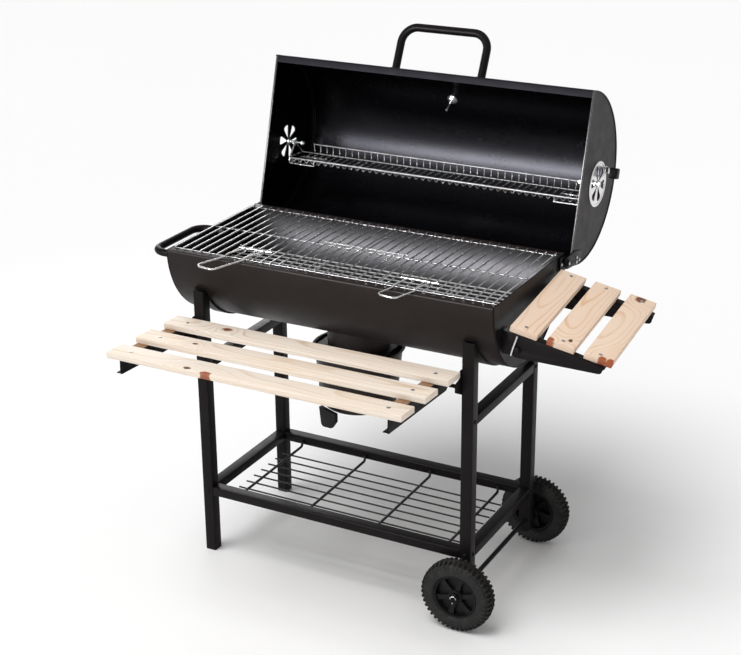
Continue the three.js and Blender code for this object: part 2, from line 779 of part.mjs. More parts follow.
const shelfDepth = 2 * SLAT_PITCH + SLAT;
for (let i = 0; i < 3; i++) {
  const back = -i * SLAT_PITCH;
  const slat = block([SHELF_LEFT, back - SLAT, -SLAT_THICK], [SHELF_RIGHT, back, 0]);
  add(frontShelf, `front_slat_${i + 1}`, slat, pine);
}

/** The shelf's pivot in the shelf's own level frame. */
const pivotY = (SHELF_PIVOT_Y - SHELF_BACK_Y) * cos(SHELF_RISE) - (SHELF_PIVOT_Z - SHELF_TOP) * sin(SHELF_RISE);
const pivotZ = (SHELF_PIVOT_Y - SHELF_BACK_Y) * sin(SHELF_RISE) + (SHELF_PIVOT_Z - SHELF_TOP) * cos(SHELF_RISE);

function shelfArm(face) {
  const top = -SLAT_THICK - GAP;
  const bottom = -SLAT_THICK - ARM_DEPTH;
  const outline = [
    [6, top - 6],
    [2, top],
    [-shelfDepth + 3, top],
    [-shelfDepth + 3, bottom + 3],
    [-shelfDepth + 6, bottom],
    [-2, bottom],
    [6, bottom + 6],
  ];
  const eye = arc(pivotY, pivotZ, PIN_R + RUNNING, 0, 2 * PI, 16).slice(0, -1);
  const web = plateX(outline.reverse(), face - ARM_SHEET, face, [eye]);
  const foot = block([face - 14, -shelfDepth + 8, bottom], [face - 0.5, -40, bottom + ARM_SHEET]);
  return join(web, foot);
}

for (const [side, face] of [
  ["left", ARM_LEFT_X],
  ["right", ARM_RIGHT_X],
]) {
  add(frontShelf, `front_arm_${side}`, shelfArm(face), framePaint);
}

/** A plate on the left face of a front leg, with the pin that the shelf's arm turns on. */
function shelfBracket(legFace, armFace) {
  const outline = [
    [SHELF_PIVOT_Y - 13, SHELF_PIVOT_Z + 9],
    [SHELF_PIVOT_Y - 13, SHELF_PIVOT_Z - 8],
    [-legY - TUBE + 4, 502],
    [-legY - 4, 502],
    [-legY - 4, SHELF_TOP],
    [SHELF_BACK_Y + 4, SHELF_TOP],
    [SHELF_BACK_Y + 2, SHELF_PIVOT_Z + 14],
  ];
  const plate = plateX(outline, legFace - GAP - 2.2, legFace - GAP);
  const pinEnd = armFace - ARM_SHEET - GAP;
  const pin = rod([legFace - GAP - 1, SHELF_PIVOT_Y, SHELF_PIVOT_Z], [pinEnd, SHELF_PIVOT_Y, SHELF_PIVOT_Z], PIN_R, 16);
  const head = rod([pinEnd - 4, SHELF_PIVOT_Y, SHELF_PIVOT_Z], [pinEnd, SHELF_PIVOT_Y, SHELF_PIVOT_Z], 6.5, 6);
  return join(plate, pin, head);
}

add(grill, "shelf_bracket_left", shelfBracket(-legX - TUBE, ARM_LEFT_X), framePaint);
add(grill, "shelf_bracket_right", shelfBracket(legX, ARM_RIGHT_X), framePaint);

// ---- side shelf ----

const sideShelf = new THREE.Group();
sideShelf.position.set(SIDE_X, 0, SIDE_TOP);
sideShelf.rotation.set(SIDE_TILT, SIDE_SLOPE, SIDE_SKEW, "ZXY");
grill.add(sideShelf);
for (let i = 0; i < 3; i++) {
  const from = i * SIDE_PITCH;
  const slat = block([from, SIDE_FRONT_Y, -SLAT_THICK], [from + SIDE_SLAT, SIDE_BACK_Y, 0]);
  add(sideShelf, `side_slat_${i + 1}`, slat, pine);
}

const sideRoot = BOX_RIGHT + END_LIP + GAP; // where the mounts meet the firebox's end
const sideEnd = SIDE_X + 2 * SIDE_PITCH + SIDE_SLAT - 9;
const sideNormal = new THREE.Vector3(0, 0, 1).applyEuler(sideShelf.rotation);

/** Height just under the slats at a given place. */
function underSideSlats(x, y) {
  const drop = SLAT_THICK + 2 * GAP + sideNormal.x * (x - SIDE_X) + sideNormal.y * y;
  return SIDE_TOP - drop / sideNormal.z;
}

/** A tapered plate under the slats' ends, rounded where it turns on its pin. */
function sideArm(y) {
  const outline = [
    ...arc(SIDE_PIVOT_X, SIDE_PIVOT_Z, 17, degrees(165), degrees(262), 6),
    ...arc(sideEnd - 14, SIDE_ARM_BOTTOM + 8, 8, 1.5 * PI, 2 * PI, 4),
    [sideEnd, underSideSlats(sideEnd, y)],
    [SIDE_X + 8, underSideSlats(SIDE_X + 8, y)],
  ];
  const eye = arc(SIDE_PIVOT_X, SIDE_PIVOT_Z, PIN_R + RUNNING, 0, 2 * PI, 16).slice(0, -1);
  return plateY(outline, y, y + ARM_SHEET, [eye]);
}

/** A bent plate on the firebox's end, with the pin that a side arm turns on. */
function sideBracket(armY, inward) {
  const inner = inward > 0 ? armY + ARM_SHEET + GAP : armY - GAP - ARM_SHEET;
  const outline = [
    [sideRoot, 596],
    [SIDE_PIVOT_X - 6, 594],
    ...arc(SIDE_PIVOT_X, SIDE_PIVOT_Z, 15, degrees(-90), degrees(60), 8),
    [sideRoot + 12, 641],
    [sideRoot, 643],
  ];
  const web = plateY(outline, inner, inner + ARM_SHEET);
  const tab = block([sideRoot, inner + 1, 596], [sideRoot + ARM_SHEET, inner + inward * 24 + 1, 643]);
  const outside = inward > 0 ? armY - GAP : armY + ARM_SHEET + GAP;
  const pin = rod([SIDE_PIVOT_X, inner + 1, SIDE_PIVOT_Z], [SIDE_PIVOT_X, outside, SIDE_PIVOT_Z], PIN_R, 16);
  const head = rod([SIDE_PIVOT_X, outside, SIDE_PIVOT_Z], [SIDE_PIVOT_X, outside - inward * 4, SIDE_PIVOT_Z], 6.5, 6);
  return join(web, tab, pin, head);
}

for (const [side, y, inward] of [
  ["front", SIDE_FRONT_Y + 6, 1],
  ["rear", SIDE_BACK_Y - 6, -1],
]) {
  add(grill, `side_arm_${side}`, sideArm(y), framePaint);
  add(grill, `side_bracket_${side}`, sideBracket(y, inward), framePaint);
}

// The origin is on the ground, under the middle of the whole grill's bounds.
const bounds = new THREE.Box3().setFromObject(grill, true);
const middle = bounds.getCenter(new THREE.Vector3());
grill.position.set(-middle.x, -middle.y, 0);

export default grill;
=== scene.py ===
"""The looks of a barrel charcoal grill on a wheeled trolley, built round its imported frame. Metres, +Z up."""

import json
from math import asin, cos, hypot, pi, radians, sin, sqrt, tau

import bmesh
import bpy
from mathutils import Matrix, Vector


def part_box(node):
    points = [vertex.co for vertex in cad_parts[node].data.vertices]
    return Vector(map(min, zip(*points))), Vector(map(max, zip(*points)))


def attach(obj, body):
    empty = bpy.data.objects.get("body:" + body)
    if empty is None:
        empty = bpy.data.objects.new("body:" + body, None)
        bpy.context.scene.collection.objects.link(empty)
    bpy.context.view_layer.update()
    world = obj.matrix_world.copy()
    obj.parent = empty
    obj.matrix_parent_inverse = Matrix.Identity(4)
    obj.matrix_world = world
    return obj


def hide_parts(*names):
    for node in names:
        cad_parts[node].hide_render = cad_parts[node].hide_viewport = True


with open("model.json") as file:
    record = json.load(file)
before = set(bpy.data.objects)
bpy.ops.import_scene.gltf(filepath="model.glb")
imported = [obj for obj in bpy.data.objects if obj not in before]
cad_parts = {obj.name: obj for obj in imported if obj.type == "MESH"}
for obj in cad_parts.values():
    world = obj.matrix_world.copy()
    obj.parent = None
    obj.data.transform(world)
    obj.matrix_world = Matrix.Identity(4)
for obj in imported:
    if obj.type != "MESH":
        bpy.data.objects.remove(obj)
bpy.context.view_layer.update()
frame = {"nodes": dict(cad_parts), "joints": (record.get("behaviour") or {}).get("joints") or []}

MM = 0.001
SHEET = 1.5
SHARP = radians(32)  # edges that turn more than this stay crisp


# ---- places, from the frame ----


def joint(name):
    return next(j for j in frame["joints"] if j["name"] == name)


# The trolley's own frame, in millimetres from the middle of its four legs, as the pieces below are laid out
LEG_CORNER = Vector((-323, -167, 0))
ROW = Matrix.Translation(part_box("leg_front_left")[0] - LEG_CORNER * MM) @ Matrix.Scale(MM, 4)
HINGE = ROW.inverted() @ Vector(joint("lid_hinge")["pos_m"])
LID_TURN = radians(joint("lid_hinge")["range_deg"][1])
OPENED = Matrix.Translation(HINGE) @ Matrix.Rotation(-LID_TURN, 4, "X") @ Matrix.Translation(-HINGE)


# ---- meshes ----


def as_mesh(name, bm):
    """A mesh with a bmesh's faces, which uses the bmesh up."""
    mesh = bpy.data.meshes.new(name)
    bm.to_mesh(mesh)
    bm.free()
    return mesh


def in_scene(name, data):
    """A new object, linked to the scene."""
    thing = bpy.data.objects.new(name, data)
    bpy.context.scene.collection.objects.link(thing)
    return thing


def keep(name, bm, body, slot, *materials, replaces=(), turn=None, own=None, inner=None):
    """Turns a bmesh in the trolley's millimetres into a smooth-shaded piece that rides on a body.
    Turn moves it first, own is the place of a mesh with axes of its own, and inner picks the faces
    that take the second material, by their middle and normal."""
    bmesh.ops.recalc_face_normals(bm, faces=bm.faces)
    if inner:
        for face in bm.faces:
            face.material_index = int(inner(face.calc_center_median(), face.normal))
    if turn is not None:
        bmesh.ops.transform(bm, matrix=turn, verts=bm.verts)
    bmesh.ops.transform(bm, matrix=Matrix.Scale(MM, 4) if own else ROW, verts=bm.verts)
    mesh = as_mesh(name, bm)
    mesh.shade_smooth()
    mesh.set_sharp_from_angle(angle=SHARP)
    for material in materials:
        mesh.materials.append(material)
    piece = in_scene(name, mesh)
    if own:
        piece.matrix_world = ROW @ own @ Matrix.Scale(1 / MM, 4)
    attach(piece, body)
    if replaces:
        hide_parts(*replaces)
    return piece


def softened(bm, width, segments=2, angle=radians(30)):
    """Rounds every edge that turns more than the angle."""
    edges = [e for e in bm.edges if len(e.link_faces) == 2 and e.calc_face_angle(0) > angle]
    bmesh.ops.bevel(
        bm, geom=edges, offset=width, segments=segments, profile=0.5, affect="EDGES", clamp_overlap=True
    )


def refined(node, width, segments=2):
    """A CAD node's own shape with its edges rounded."""
    bm = bmesh.new()
    bm.from_mesh(frame["nodes"][node].data)
    bmesh.ops.transform(bm, matrix=ROW.inverted(), verts=bm.verts)
    bmesh.ops.remove_doubles(bm, verts=bm.verts, dist=0.01)
    bmesh.ops.dissolve_limit(bm, angle_limit=radians(1), verts=bm.verts, edges=bm.edges)
    softened(bm, width, segments)
    return bm


def eased(name, node, body, width, segments=2, slot="frame_paint", material=None):
    """A piece with a CAD node's own shape and rounded edges."""
    keep(name, refined(node, width, segments), body, slot, material or FRAME, replaces=[node])


def box(bm, low, high, matrix=None):
    """Adds a box between two corners."""
    low, high = Vector(low), Vector(high)
    place = Matrix.Translation((low + high) / 2) @ Matrix.Diagonal((*(high - low), 1))
    return bmesh.ops.create_cube(bm, size=1, matrix=(matrix or Matrix()) @ place)["verts"]


def loft(bm, rings, closed=False):
    """Joins rings of points with faces, and fills the two ends unless the last meets the first."""
    made = [[bm.verts.new(p) for p in ring] for ring in rings]
    count = len(made[0])
    pairs = zip(made, made[1:] + made[:1]) if closed else zip(made, made[1:])
    for a, b in pairs:
        for i in range(count):
            j = (i + 1) % count
            bm.faces.new((a[i], a[j], b[j], b[i]))
    if not closed:
        bm.faces.new(made[0])
        bm.faces.new(made[-1][::-1])


def turned(bm, profile, matrix, segments=64):
    """Turns a closed profile of (radius, height) about the matrix's Z axis."""
    columns = []
    for r, h in profile:
        if r < 1e-4:
            columns.append([bm.verts.new(matrix @ Vector((0, 0, h)))])
        else:
            turn = [tau * i / segments for i in range(segments)]
            columns.append([bm.verts.new(matrix @ Vector((r * cos(a), r * sin(a), h))) for a in turn])
    for a, b in zip(columns, columns[1:] + columns[:1]):
        if len(a) == 1 and len(b) == 1:
            continue
        for i in range(segments):
            j = (i + 1) % segments
            corners = [a[i % len(a)], a[j % len(a)], b[j % len(b)], b[i % len(b)]]
            bm.faces.new(list(dict.fromkeys(corners)))


def bent(corners, bend, steps=6):
    """A path through the corners, each but the first and last rounded with an arc of the bend radius."""
    corners = [Vector(c) for c in corners]
    path = [corners[0]]
    for last, corner, following in zip(corners, corners[1:], corners[2:]):
        before = (last - corner).normalized()
        after = (following - corner).normalized()
        half = before.angle(after) / 2
        reach = bend * cos(half) / sin(half)
        centre = corner + (before + after).normalized() * (bend / sin(half))
        a, b = corner + before * reach - centre, corner + after * reach - centre
        turn = a.angle(b)
        for k in range(steps + 1):
            t = k / steps
            path.append(centre + (a * sin((1 - t) * turn) + b * sin(t * turn)) / sin(turn))
    return [*path, corners[-1]]


def tube(bm, path, radius, sides=12, closed=False):
    """A round bar along a path. Radius is a number, or one for each point."""
    path = [Vector(p) for p in path]
    radii = radius if isinstance(radius, (list, tuple)) else [radius] * len(path)
    count = len(path)
    rings, across = [], None
    for i, point in enumerate(path):
        before = path[i - 1] if i or closed else point
        after = path[(i + 1) % count] if i < count - 1 or closed else point
        along = (after - before).normalized()
        if across is None:
            across = along.orthogonal().normalized()
        across = (across - along * across.dot(along)).normalized()
        up = along.cross(across)
        ring = [tau * k / sides for k in range(sides)]
        rings.append([point + (across * cos(a) + up * sin(a)) * radii[i] for a in ring])
    loft(bm, rings, closed=closed)


def wire(bm, a, b, radius, sides=8):
    """A straight wire with slightly rounded ends."""
    a, b = Vector(a), Vector(b)
    tip = (b - a).normalized() * radius * 0.4
    tube(bm, [a, a + tip, b - tip, b], [radius * 0.7, radius, radius, radius * 0.7], sides)


def plate(bm, outline, thick, matrix, holes=(), soft=0.0):
    """Fills a flat outline with holes and thickens it along the matrix's third axis."""
    part = bmesh.new()
    for loop in (outline, *holes):
        verts = [part.verts.new((x, y, 0)) for x, y in loop]
        for a, b in zip(verts, verts[1:] + verts[:1]):
            part.edges.new((a, b))
    bmesh.ops.triangle_fill(part, use_beauty=True, use_dissolve=False, edges=part.edges[:])
    bmesh.ops.dissolve_limit(part, angle_limit=radians(1), verts=part.verts, edges=part.edges)
    made = bmesh.ops.extrude_face_region(part, geom=part.faces[:])
    up = [v for v in made["geom"] if isinstance(v, bmesh.types.BMVert)]
    bmesh.ops.translate(part, verts=up, vec=(0, 0, thick))
    bmesh.ops.recalc_face_normals(part, faces=part.faces)
    if soft:
        softened(part, soft, 1, radians(60))
    joined(bm, part, matrix)


def joined(bm, part, place=None):
    """Moves a bmesh's faces into another."""
    mesh = as_mesh("part", part)
    if place is not None:
        mesh.transform(place)
    bm.from_mesh(mesh)
    bpy.data.meshes.remove(mesh)


def arc(cx, cy, radius, start, end, steps):
    """Points on an arc, in radians."""
    turn = [start + (end - start) * i / steps for i in range(steps + 1)]
    return [(cx + radius * cos(a), cy + radius * sin(a)) for a in turn]


def circle(cx, cy, radius, steps=24):
    return arc(cx, cy, radius, 0, tau, steps)[:-1]


def rounded(low, high, radius, steps):
    """The outline of a rectangle between two corners, with its corners rounded."""
    outline = []
    for i, j, turn in ((1, 1, 0), (0, 1, 90), (0, 0, 180), (1, 0, 270)):
        x = high[0] - radius if i else low[0] + radius
        y = high[1] - radius if j else low[1] + radius
        outline += arc(x, y, radius, radians(turn), radians(turn + 90), steps)
    return outline


def folded(line, thick):
    """The closed outline of sheet of the given thickness whose middle follows a line of (a, b) points."""
    left, right = [], []
    for i, (x, y) in enumerate(line):
        x0, y0 = line[max(i - 1, 0)]
        x1, y1 = line[min(i + 1, len(line) - 1)]
        length = hypot(x1 - x0, y1 - y0)
        nx, ny = -(y1 - y0) / length * thick / 2, (x1 - x0) / length * thick / 2
        left.append((x + nx, y + ny))
        right.append((x - nx, y - ny))
    return left + right[::-1]


IN_YZ = Matrix(((0, 0, 1, 0), (1, 0, 0, 0), (0, 1, 0, 0), (0, 0, 0, 1)))  # draws in Y and Z, thickens along X


def extruded(bm, outline, x0, x1):
    """Adds an outline in Y and Z, drawn out from x0 to x1."""
    loft(bm, [[Vector((x, y, z)) for y, z in outline] for x in (x0, x1)])


def facing(point, direction):
    """A frame at a point whose Z axis looks along the direction."""
    return Matrix.Translation(point) @ Vector(direction).to_track_quat("Z", "Y").to_matrix().to_4x4()


def cut(piece, tool):
    """Cuts a closed bmesh in the trolley's millimetres out of a finished piece."""
    bmesh.ops.transform(tool, matrix=ROW, verts=tool.verts)
    bmesh.ops.recalc_face_normals(tool, faces=tool.faces)
    cutter = in_scene("tool", as_mesh("tool", tool))
    modifier = piece.modifiers.new("cut", "BOOLEAN")
    modifier.operation = "DIFFERENCE"
    modifier.solver = "EXACT"
    modifier.object = cutter
    bpy.context.view_layer.update()
    result = bpy.data.meshes.new_from_object(piece.evaluated_get(bpy.context.evaluated_depsgraph_get()))
    piece.modifiers.clear()
    piece.data = result
    bpy.data.objects.remove(cutter)


# ---- fasteners ----


def hex_bolt(bm, point, direction, radius, height, washer=True):
    """A hexagon head with a chamfered top, on a washer."""
    place = facing(point, direction)
    base = 0.0
    if washer:
        base, wide = 1.0, radius * 1.45
        turned(bm, [(0, 0), (wide, 0), (wide, base * 0.7), (radius * 1.3, base), (0, base)], place, 24)
    rings = []
    for r, h in ((radius, base), (radius, base + height * 0.8), (radius * 0.86, base + height)):
        rings.append([place @ Vector((x, y, h)) for x, y in circle(0, 0, r, 6)])
    loft(bm, rings)


def pan_head(bm, point, direction, radius, height):
    """A domed screw head with a raised cross."""
    place = facing(point, direction) @ Matrix.Rotation(0.4, 4, "Z")
    dome = [(radius * cos(radians(a)), height * (0.25 + 0.75 * sin(radians(a)))) for a in (0, 20, 40, 60, 75)]
    part = bmesh.new()
    turned(part, [(0, 0), (radius, 0), *dome, (0, height)], Matrix(), 20)
    joined(bm, part, place)
    long, thin = radius * 0.5, radius * 0.09
    for turn in (0, pi / 2):
        bar = place @ Matrix.Rotation(turn, 4, "Z")
        box(bm, (-long, -thin, height * 0.9), (long, thin, height * 1.02), bar)


# ---- materials ----


class Finish:
    """A material's node tree, with one call for each node."""

    def __init__(self, name, roughness=0.5, metallic=0.0, **surface):
        self.material = bpy.data.materials.new(name)
        self.material.use_nodes = True
        self.tree = self.material.node_tree
        self.surface = self.tree.nodes["Principled BSDF"]
        self.put(self.surface.inputs["Roughness"], roughness)
        self.put(self.surface.inputs["Metallic"], metallic)
        for socket, value in surface.items():
            self.put(self.surface.inputs[socket.replace("_", " ")], value)
        self.at = self.add("TexCoord").outputs["Object"]

    def put(self, socket, value):
        if isinstance(value, bpy.types.NodeSocket):
            self.tree.links.new(value, socket)
        else:
            socket.default_value = value

    def add(self, kind, values=(), **settings):
        node = self.tree.nodes.new("ShaderNode" + kind)
        for name, value in settings.items():
            setattr(node, name, value)
        for socket, value in dict(values).items():
            self.put(node.inputs[socket], value)
        return node

    def math(self, operation, a, b=0.0, clamp=False):
        node = self.add("Math", {0: a, 1: b}, operation=operation, use_clamp=clamp)
        return node.outputs[0]

    def distance(self, a, b):
        squares = [self.math("MULTIPLY", side, side) for side in (a, b)]
        return self.math("SQRT", self.math("ADD", *squares))

    def scaled(self, factors, vector=None):
        values = {0: self.at if vector is None else vector, 1: factors}
        return self.add("VectorMath", values, operation="MULTIPLY").outputs[0]

    def noise(self, scale, detail=3.0, roughness=0.5, vector=None, distortion=0.0):
        values = {
            "Vector": self.at if vector is None else vector,
            "Scale": scale,
            "Detail": detail,
            "Roughness": roughness,
            "Distortion": distortion,
        }
        return self.add("TexNoise", values).outputs["Fac"]

    def ramp(self, fac, *stops):
        """A colour ramp; each stop is a place and a grey level or an (r, g, b)."""
        node = self.add("ValToRGB", {"Fac": fac})
        elements = node.color_ramp.elements
        while len(elements) < len(stops):
            elements.new(1)
        for element, (place, colour) in zip(elements, stops):
            element.position = place
            element.color = (*(colour if isinstance(colour, tuple) else (colour,) * 3), 1)
        return node.outputs["Color"]

    def mix(self, fac, a, b, blend="MIX"):
        node = self.add("Mix", {"Factor": fac}, data_type="RGBA", blend_type=blend)
        self.put(node.inputs[6], (*a, 1) if isinstance(a, tuple) else a)
        self.put(node.inputs[7], (*b, 1) if isinstance(b, tuple) else b)
        return node.outputs[2]

    def colour(self, value):
        self.put(self.surface.inputs["Base Color"], (*value, 1) if isinstance(value, tuple) else value)
        return self

    def rough(self, value):
        self.put(self.surface.inputs["Roughness"], value)
        return self

    def bump(self, height, distance, strength=1.0):
        before = self.surface.inputs["Normal"]
        values = {"Height": height, "Distance": distance, "Strength": strength}
        if before.is_linked:
            values["Normal"] = before.links[0].from_socket
        self.put(before, self.add("Bump", values).outputs[0])
        return self


def paint(name, base, light, rough, specular, tint=(1, 0.95, 0.93), wave=0.0004):
    """Sprayed and baked paint: fine orange peel, faint cloudiness and a thin film of dust."""
    f = Finish(name, Specular_IOR_Level=specular)
    cloud = f.noise(14, 4, 0.6)
    speck = f.noise(900, 2, 0.7)
    tone = f.mix(f.ramp(cloud, (0.35, 0.0), (0.7, 1.0)), base, light)
    dust = tuple(c * 2 + 0.004 for c in light)
    f.colour(f.mix(f.ramp(speck, (0.7, 0.0), (0.82, 0.16)), tone, dust))
    f.put(f.surface.inputs["Specular Tint"], (*tint, 1))
    f.rough(f.ramp(f.noise(38, 4, 0.6), (0.3, rough - 100 * wave), (0.7, rough + 150 * wave)))
    f.bump(f.noise(620, 2, 0.5), 0.00012)
    f.bump(f.noise(26, 2, 0.4), wave)
    return f.material


def plated(name, base, rough, tint=(1.0, 0.93, 0.82), metal=1.0):
    """Bright plating: small ripples, dulled patches and a trace of warm tarnish."""
    f = Finish(name, metallic=metal)
    patch = f.noise(60, 4, 0.6)
    warm = tuple(b * t for b, t in zip(base, tint))
    f.colour(f.mix(f.ramp(patch, (0.5, 0.0), (0.72, 1.0)), base, warm))
    f.rough(f.ramp(f.noise(140, 3, 0.6), (0.35, rough - 0.06), (0.7, rough + 0.1)))
    f.bump(f.noise(500, 2, 0.5), 0.00008)
    return f.material


def rubber():
    """Moulded black rubber, greyed by dust."""
    f = Finish("tyre_rubber", Specular_IOR_Level=0.2)
    dust = f.noise(55, 4, 0.65)
    f.colour(f.mix(f.ramp(dust, (0.48, 0.0), (0.8, 1.0)), (0.012, 0.0115, 0.011), (0.034, 0.032, 0.03)))
    f.rough(f.ramp(f.noise(120, 3, 0.6), (0.3, 0.62), (0.7, 0.82)))
    f.bump(f.noise(1500, 2, 0.6), 0.00012)
    return f.material


def plastic(name, rough=0.42):
    """Moulded black plastic with a fine spark-eroded grain."""
    f = Finish(name, Specular_IOR_Level=0.14)
    scuff = f.ramp(f.noise(30, 3), (0.4, 0.0), (0.8, 1.0))
    f.colour(f.mix(scuff, (0.005, 0.0048, 0.005), (0.009, 0.0086, 0.009)))
    f.rough(f.ramp(f.noise(80, 3, 0.6), (0.3, rough - 0.06), (0.7, rough + 0.08)))
    f.bump(f.noise(1300, 2, 0.7), 0.00016)
    return f.material


def dial_card():
    """Printed card under a clear lens, a little yellowed."""
    f = Finish("dial_face", Specular_IOR_Level=0.5)
    age = f.ramp(f.noise(90, 4, 0.6), (0.4, 0.0), (0.75, 1.0))
    f.colour(f.mix(age, (0.76, 0.75, 0.71), (0.70, 0.67, 0.59)))
    f.rough(f.ramp(f.noise(200, 3, 0.6), (0.3, 0.2), (0.7, 0.32)))
    return f.material


def pine(name, seed, knots=(), ring=0.0052, pith=(0.012, -0.05), pale=(0.90, 0.81, 0.71),
         tan=(0.66, 0.42, 0.23)):
    """Planed softwood along X: growth rings round a wandering pith, fibres, and knots, each given as
    (x, y, radius, redness)."""
    f = Finish(name, Specular_IOR_Level=0.3)
    away = (seed * 3.17, seed * 1.31, seed * 0.77)
    shift = f.add("VectorMath", {0: f.at, 1: away}, operation="ADD").outputs[0]
    x, y, z = f.add("SeparateXYZ", {0: f.at}).outputs
    sway = f.math("SUBTRACT", f.noise(1.0, 2, 0.5, f.scaled((3.2, 9, 9), shift)), 0.5)
    lean = f.math("SUBTRACT", f.noise(1.0, 1, 0.5, f.scaled((1.4, 2, 2), shift)), 0.5)
    side = f.math("ADD", f.math("SUBTRACT", y, pith[0]), f.math("MULTIPLY", lean, 0.05))
    deep = f.math("ADD", f.math("SUBTRACT", z, pith[1]), f.math("MULTIPLY", sway, 0.022))
    radius = f.distance(side, deep)
    masks = []
    for kx, ky, kr, redness in knots:
        dx = f.math("MULTIPLY", f.math("SUBTRACT", x, kx), 0.75)
        dy = f.math("SUBTRACT", y, ky)
        gap = f.distance(dx, dy)
        reach = f.math("POWER", f.math("DIVIDE", gap, kr * 2.2), 2.0)
        swirl = f.math("DIVIDE", 1.0, f.math("ADD", 1.0, reach))
        radius = f.math("ADD", radius, f.math("MULTIPLY", swirl, kr * 2.6))
        rim = f.math("ADD", gap, f.math("MULTIPLY", f.math("SUBTRACT", f.noise(160, 3), 0.5), kr * 0.9))
        masks.append((f.math("DIVIDE", rim, kr, clamp=True), redness))
    turn = f.math("FRACT", f.math("DIVIDE", radius, ring))
    late = f.ramp(turn, (0.0, 0.0), (0.66, 0.08), (0.88, 1.0), (0.95, 0.6), (1.0, 0.0))
    broad = f.noise(1.0, 3, 0.55, f.scaled((2.4, 38, 38), shift))
    fibre = f.noise(1.0, 4, 0.7, f.scaled((26, 900, 900), shift))
    blush = f.noise(1.0, 2, 0.5, f.scaled((5, 16, 16), shift))
    warm = (pale[0] * 1.01, pale[1] * 0.955, pale[2] * 0.90)
    ground = f.mix(f.ramp(blush, (0.35, 0.0), (0.75, 1.0)), pale, warm)
    strength = f.math("MULTIPLY", f.ramp(broad, (0.34, 0.12), (0.72, 0.8)), late)
    tone = f.mix(strength, ground, tan)
    tone = f.mix(f.math("MULTIPLY", f.ramp(fibre, (0.45, 0.0), (0.85, 1.0)), 0.16), tone, (0.52, 0.33, 0.18))
    for mask, redness in masks:
        heart = tuple(a + (b - a) * redness for a, b in zip((0.10, 0.045, 0.02), (0.40, 0.09, 0.022)))
        edge = f.ramp(mask, (0.0, 1.0), (0.74, 0.95), (0.9, 0.4), (1.0, 0.0))
        tone = f.mix(edge, tone, heart)
    f.colour(tone)
    f.rough(f.ramp(fibre, (0.3, 0.52), (0.8, 0.68)))
    f.bump(fibre, 0.00022)
    f.bump(late, 0.00012)
    return f.material


BODY = paint("body_paint", (0.015, 0.011, 0.0102), (0.020, 0.0148, 0.0138), 0.40, 0.15)
CAP = paint("cap_paint", (0.0138, 0.0113, 0.0142), (0.0187, 0.0154, 0.0192), 0.45, 0.16)
# A glossier, lighter copy of the cap paint: the gloss is real, the lighter colour is a painted highlight along
# the rolled edges.
EDGE_HIGHLIGHT = paint("edge_highlight_paint", (0.045, 0.043, 0.047), (0.060, 0.057, 0.062), 0.26, 0.7)
COOL = (0.86, 0.86, 1.0)
LID_OUTSIDE = paint("lid_paint", (0.010, 0.010, 0.013), (0.014, 0.014, 0.018), 0.45, 0.08, COOL)
INSIDE = paint("inner_paint", (0.0010, 0.0010, 0.0014), (0.0018, 0.0018, 0.0025), 0.27, 0.16, COOL, 0.00004)
VIOLET = (0.95, 0.93, 1.0)
HEARTH = paint("hearth_paint", (0.0030, 0.0030, 0.0036), (0.0048, 0.0048, 0.0054), 0.36, 0.5, VIOLET, 0.00008)
FRAME = paint("frame_paint", (0.0075, 0.0063, 0.0067), (0.0110, 0.0094, 0.0100), 0.38, 0.08)
CHROME = plated("chrome_wire", (0.76, 0.76, 0.77), 0.20, metal=0.85)
STEEL = plated("steel_bar", (0.30, 0.30, 0.31), 0.32)
COAL_WIRE = plated("coal_wire", (0.84, 0.84, 0.85), 0.30, metal=0.6)
ZINC = plated("zinc_plate", (0.60, 0.61, 0.63), 0.30, (1.0, 0.97, 0.88))
BLACK_WIRE = paint("black_wire", (0.006, 0.006, 0.0065), (0.011, 0.011, 0.0115), 0.36, 0.3)
RUBBER = rubber()
PLASTIC = plastic("black_plastic")
DIAL = dial_card()
# The same pine darkened to about a third: painted shade for the battens that sit under the front slats.
SHADED_BATTEN = pine("batten_wood_shaded", 9, ring=0.006, pale=(0.30, 0.17, 0.09), tan=(0.18, 0.09, 0.045))


# ---- firebox ----

BOX_LEFT, BOX_RIGHT = -376, 366
BOX_MIDDLE = (BOX_LEFT + BOX_RIGHT) / 2
RIM_Z = 700
DRUM_R = 177
FLANGE = 20.5
CORNER = 2.4  # the sheet's bend radius
ASH_X = -20  # the ash opening's middle
COLLAR_Z = 488  # the underside of the ash collar's flange


def fold(edge_y, edge_z, up):
    """The rounded corner between a flange and a wall that goes up or down from it, in Y and Z."""
    turn = [pi / 8 * i for i in range(5)]
    return [(edge_y + CORNER * (1 - sin(t)), edge_z + up * CORNER * (1 - cos(t))) for t in turn]


def firebox_wall():
    """The middle of the firebox's sheet: flange, rounded corner, arc, corner and flange, in Y and Z."""
    radius, edge_z = DRUM_R - SHEET / 2, RIM_Z - SHEET / 2
    start = fold(-radius, edge_z, -1)
    drum = [p for p in arc(0, RIM_Z, radius, pi, tau, 96) if edge_z - p[1] > CORNER]
    end = [(-y, z) for y, z in start[::-1]]
    return [(-radius + FLANGE, edge_z), *start, *drum, *end, (radius - FLANGE, edge_z)]


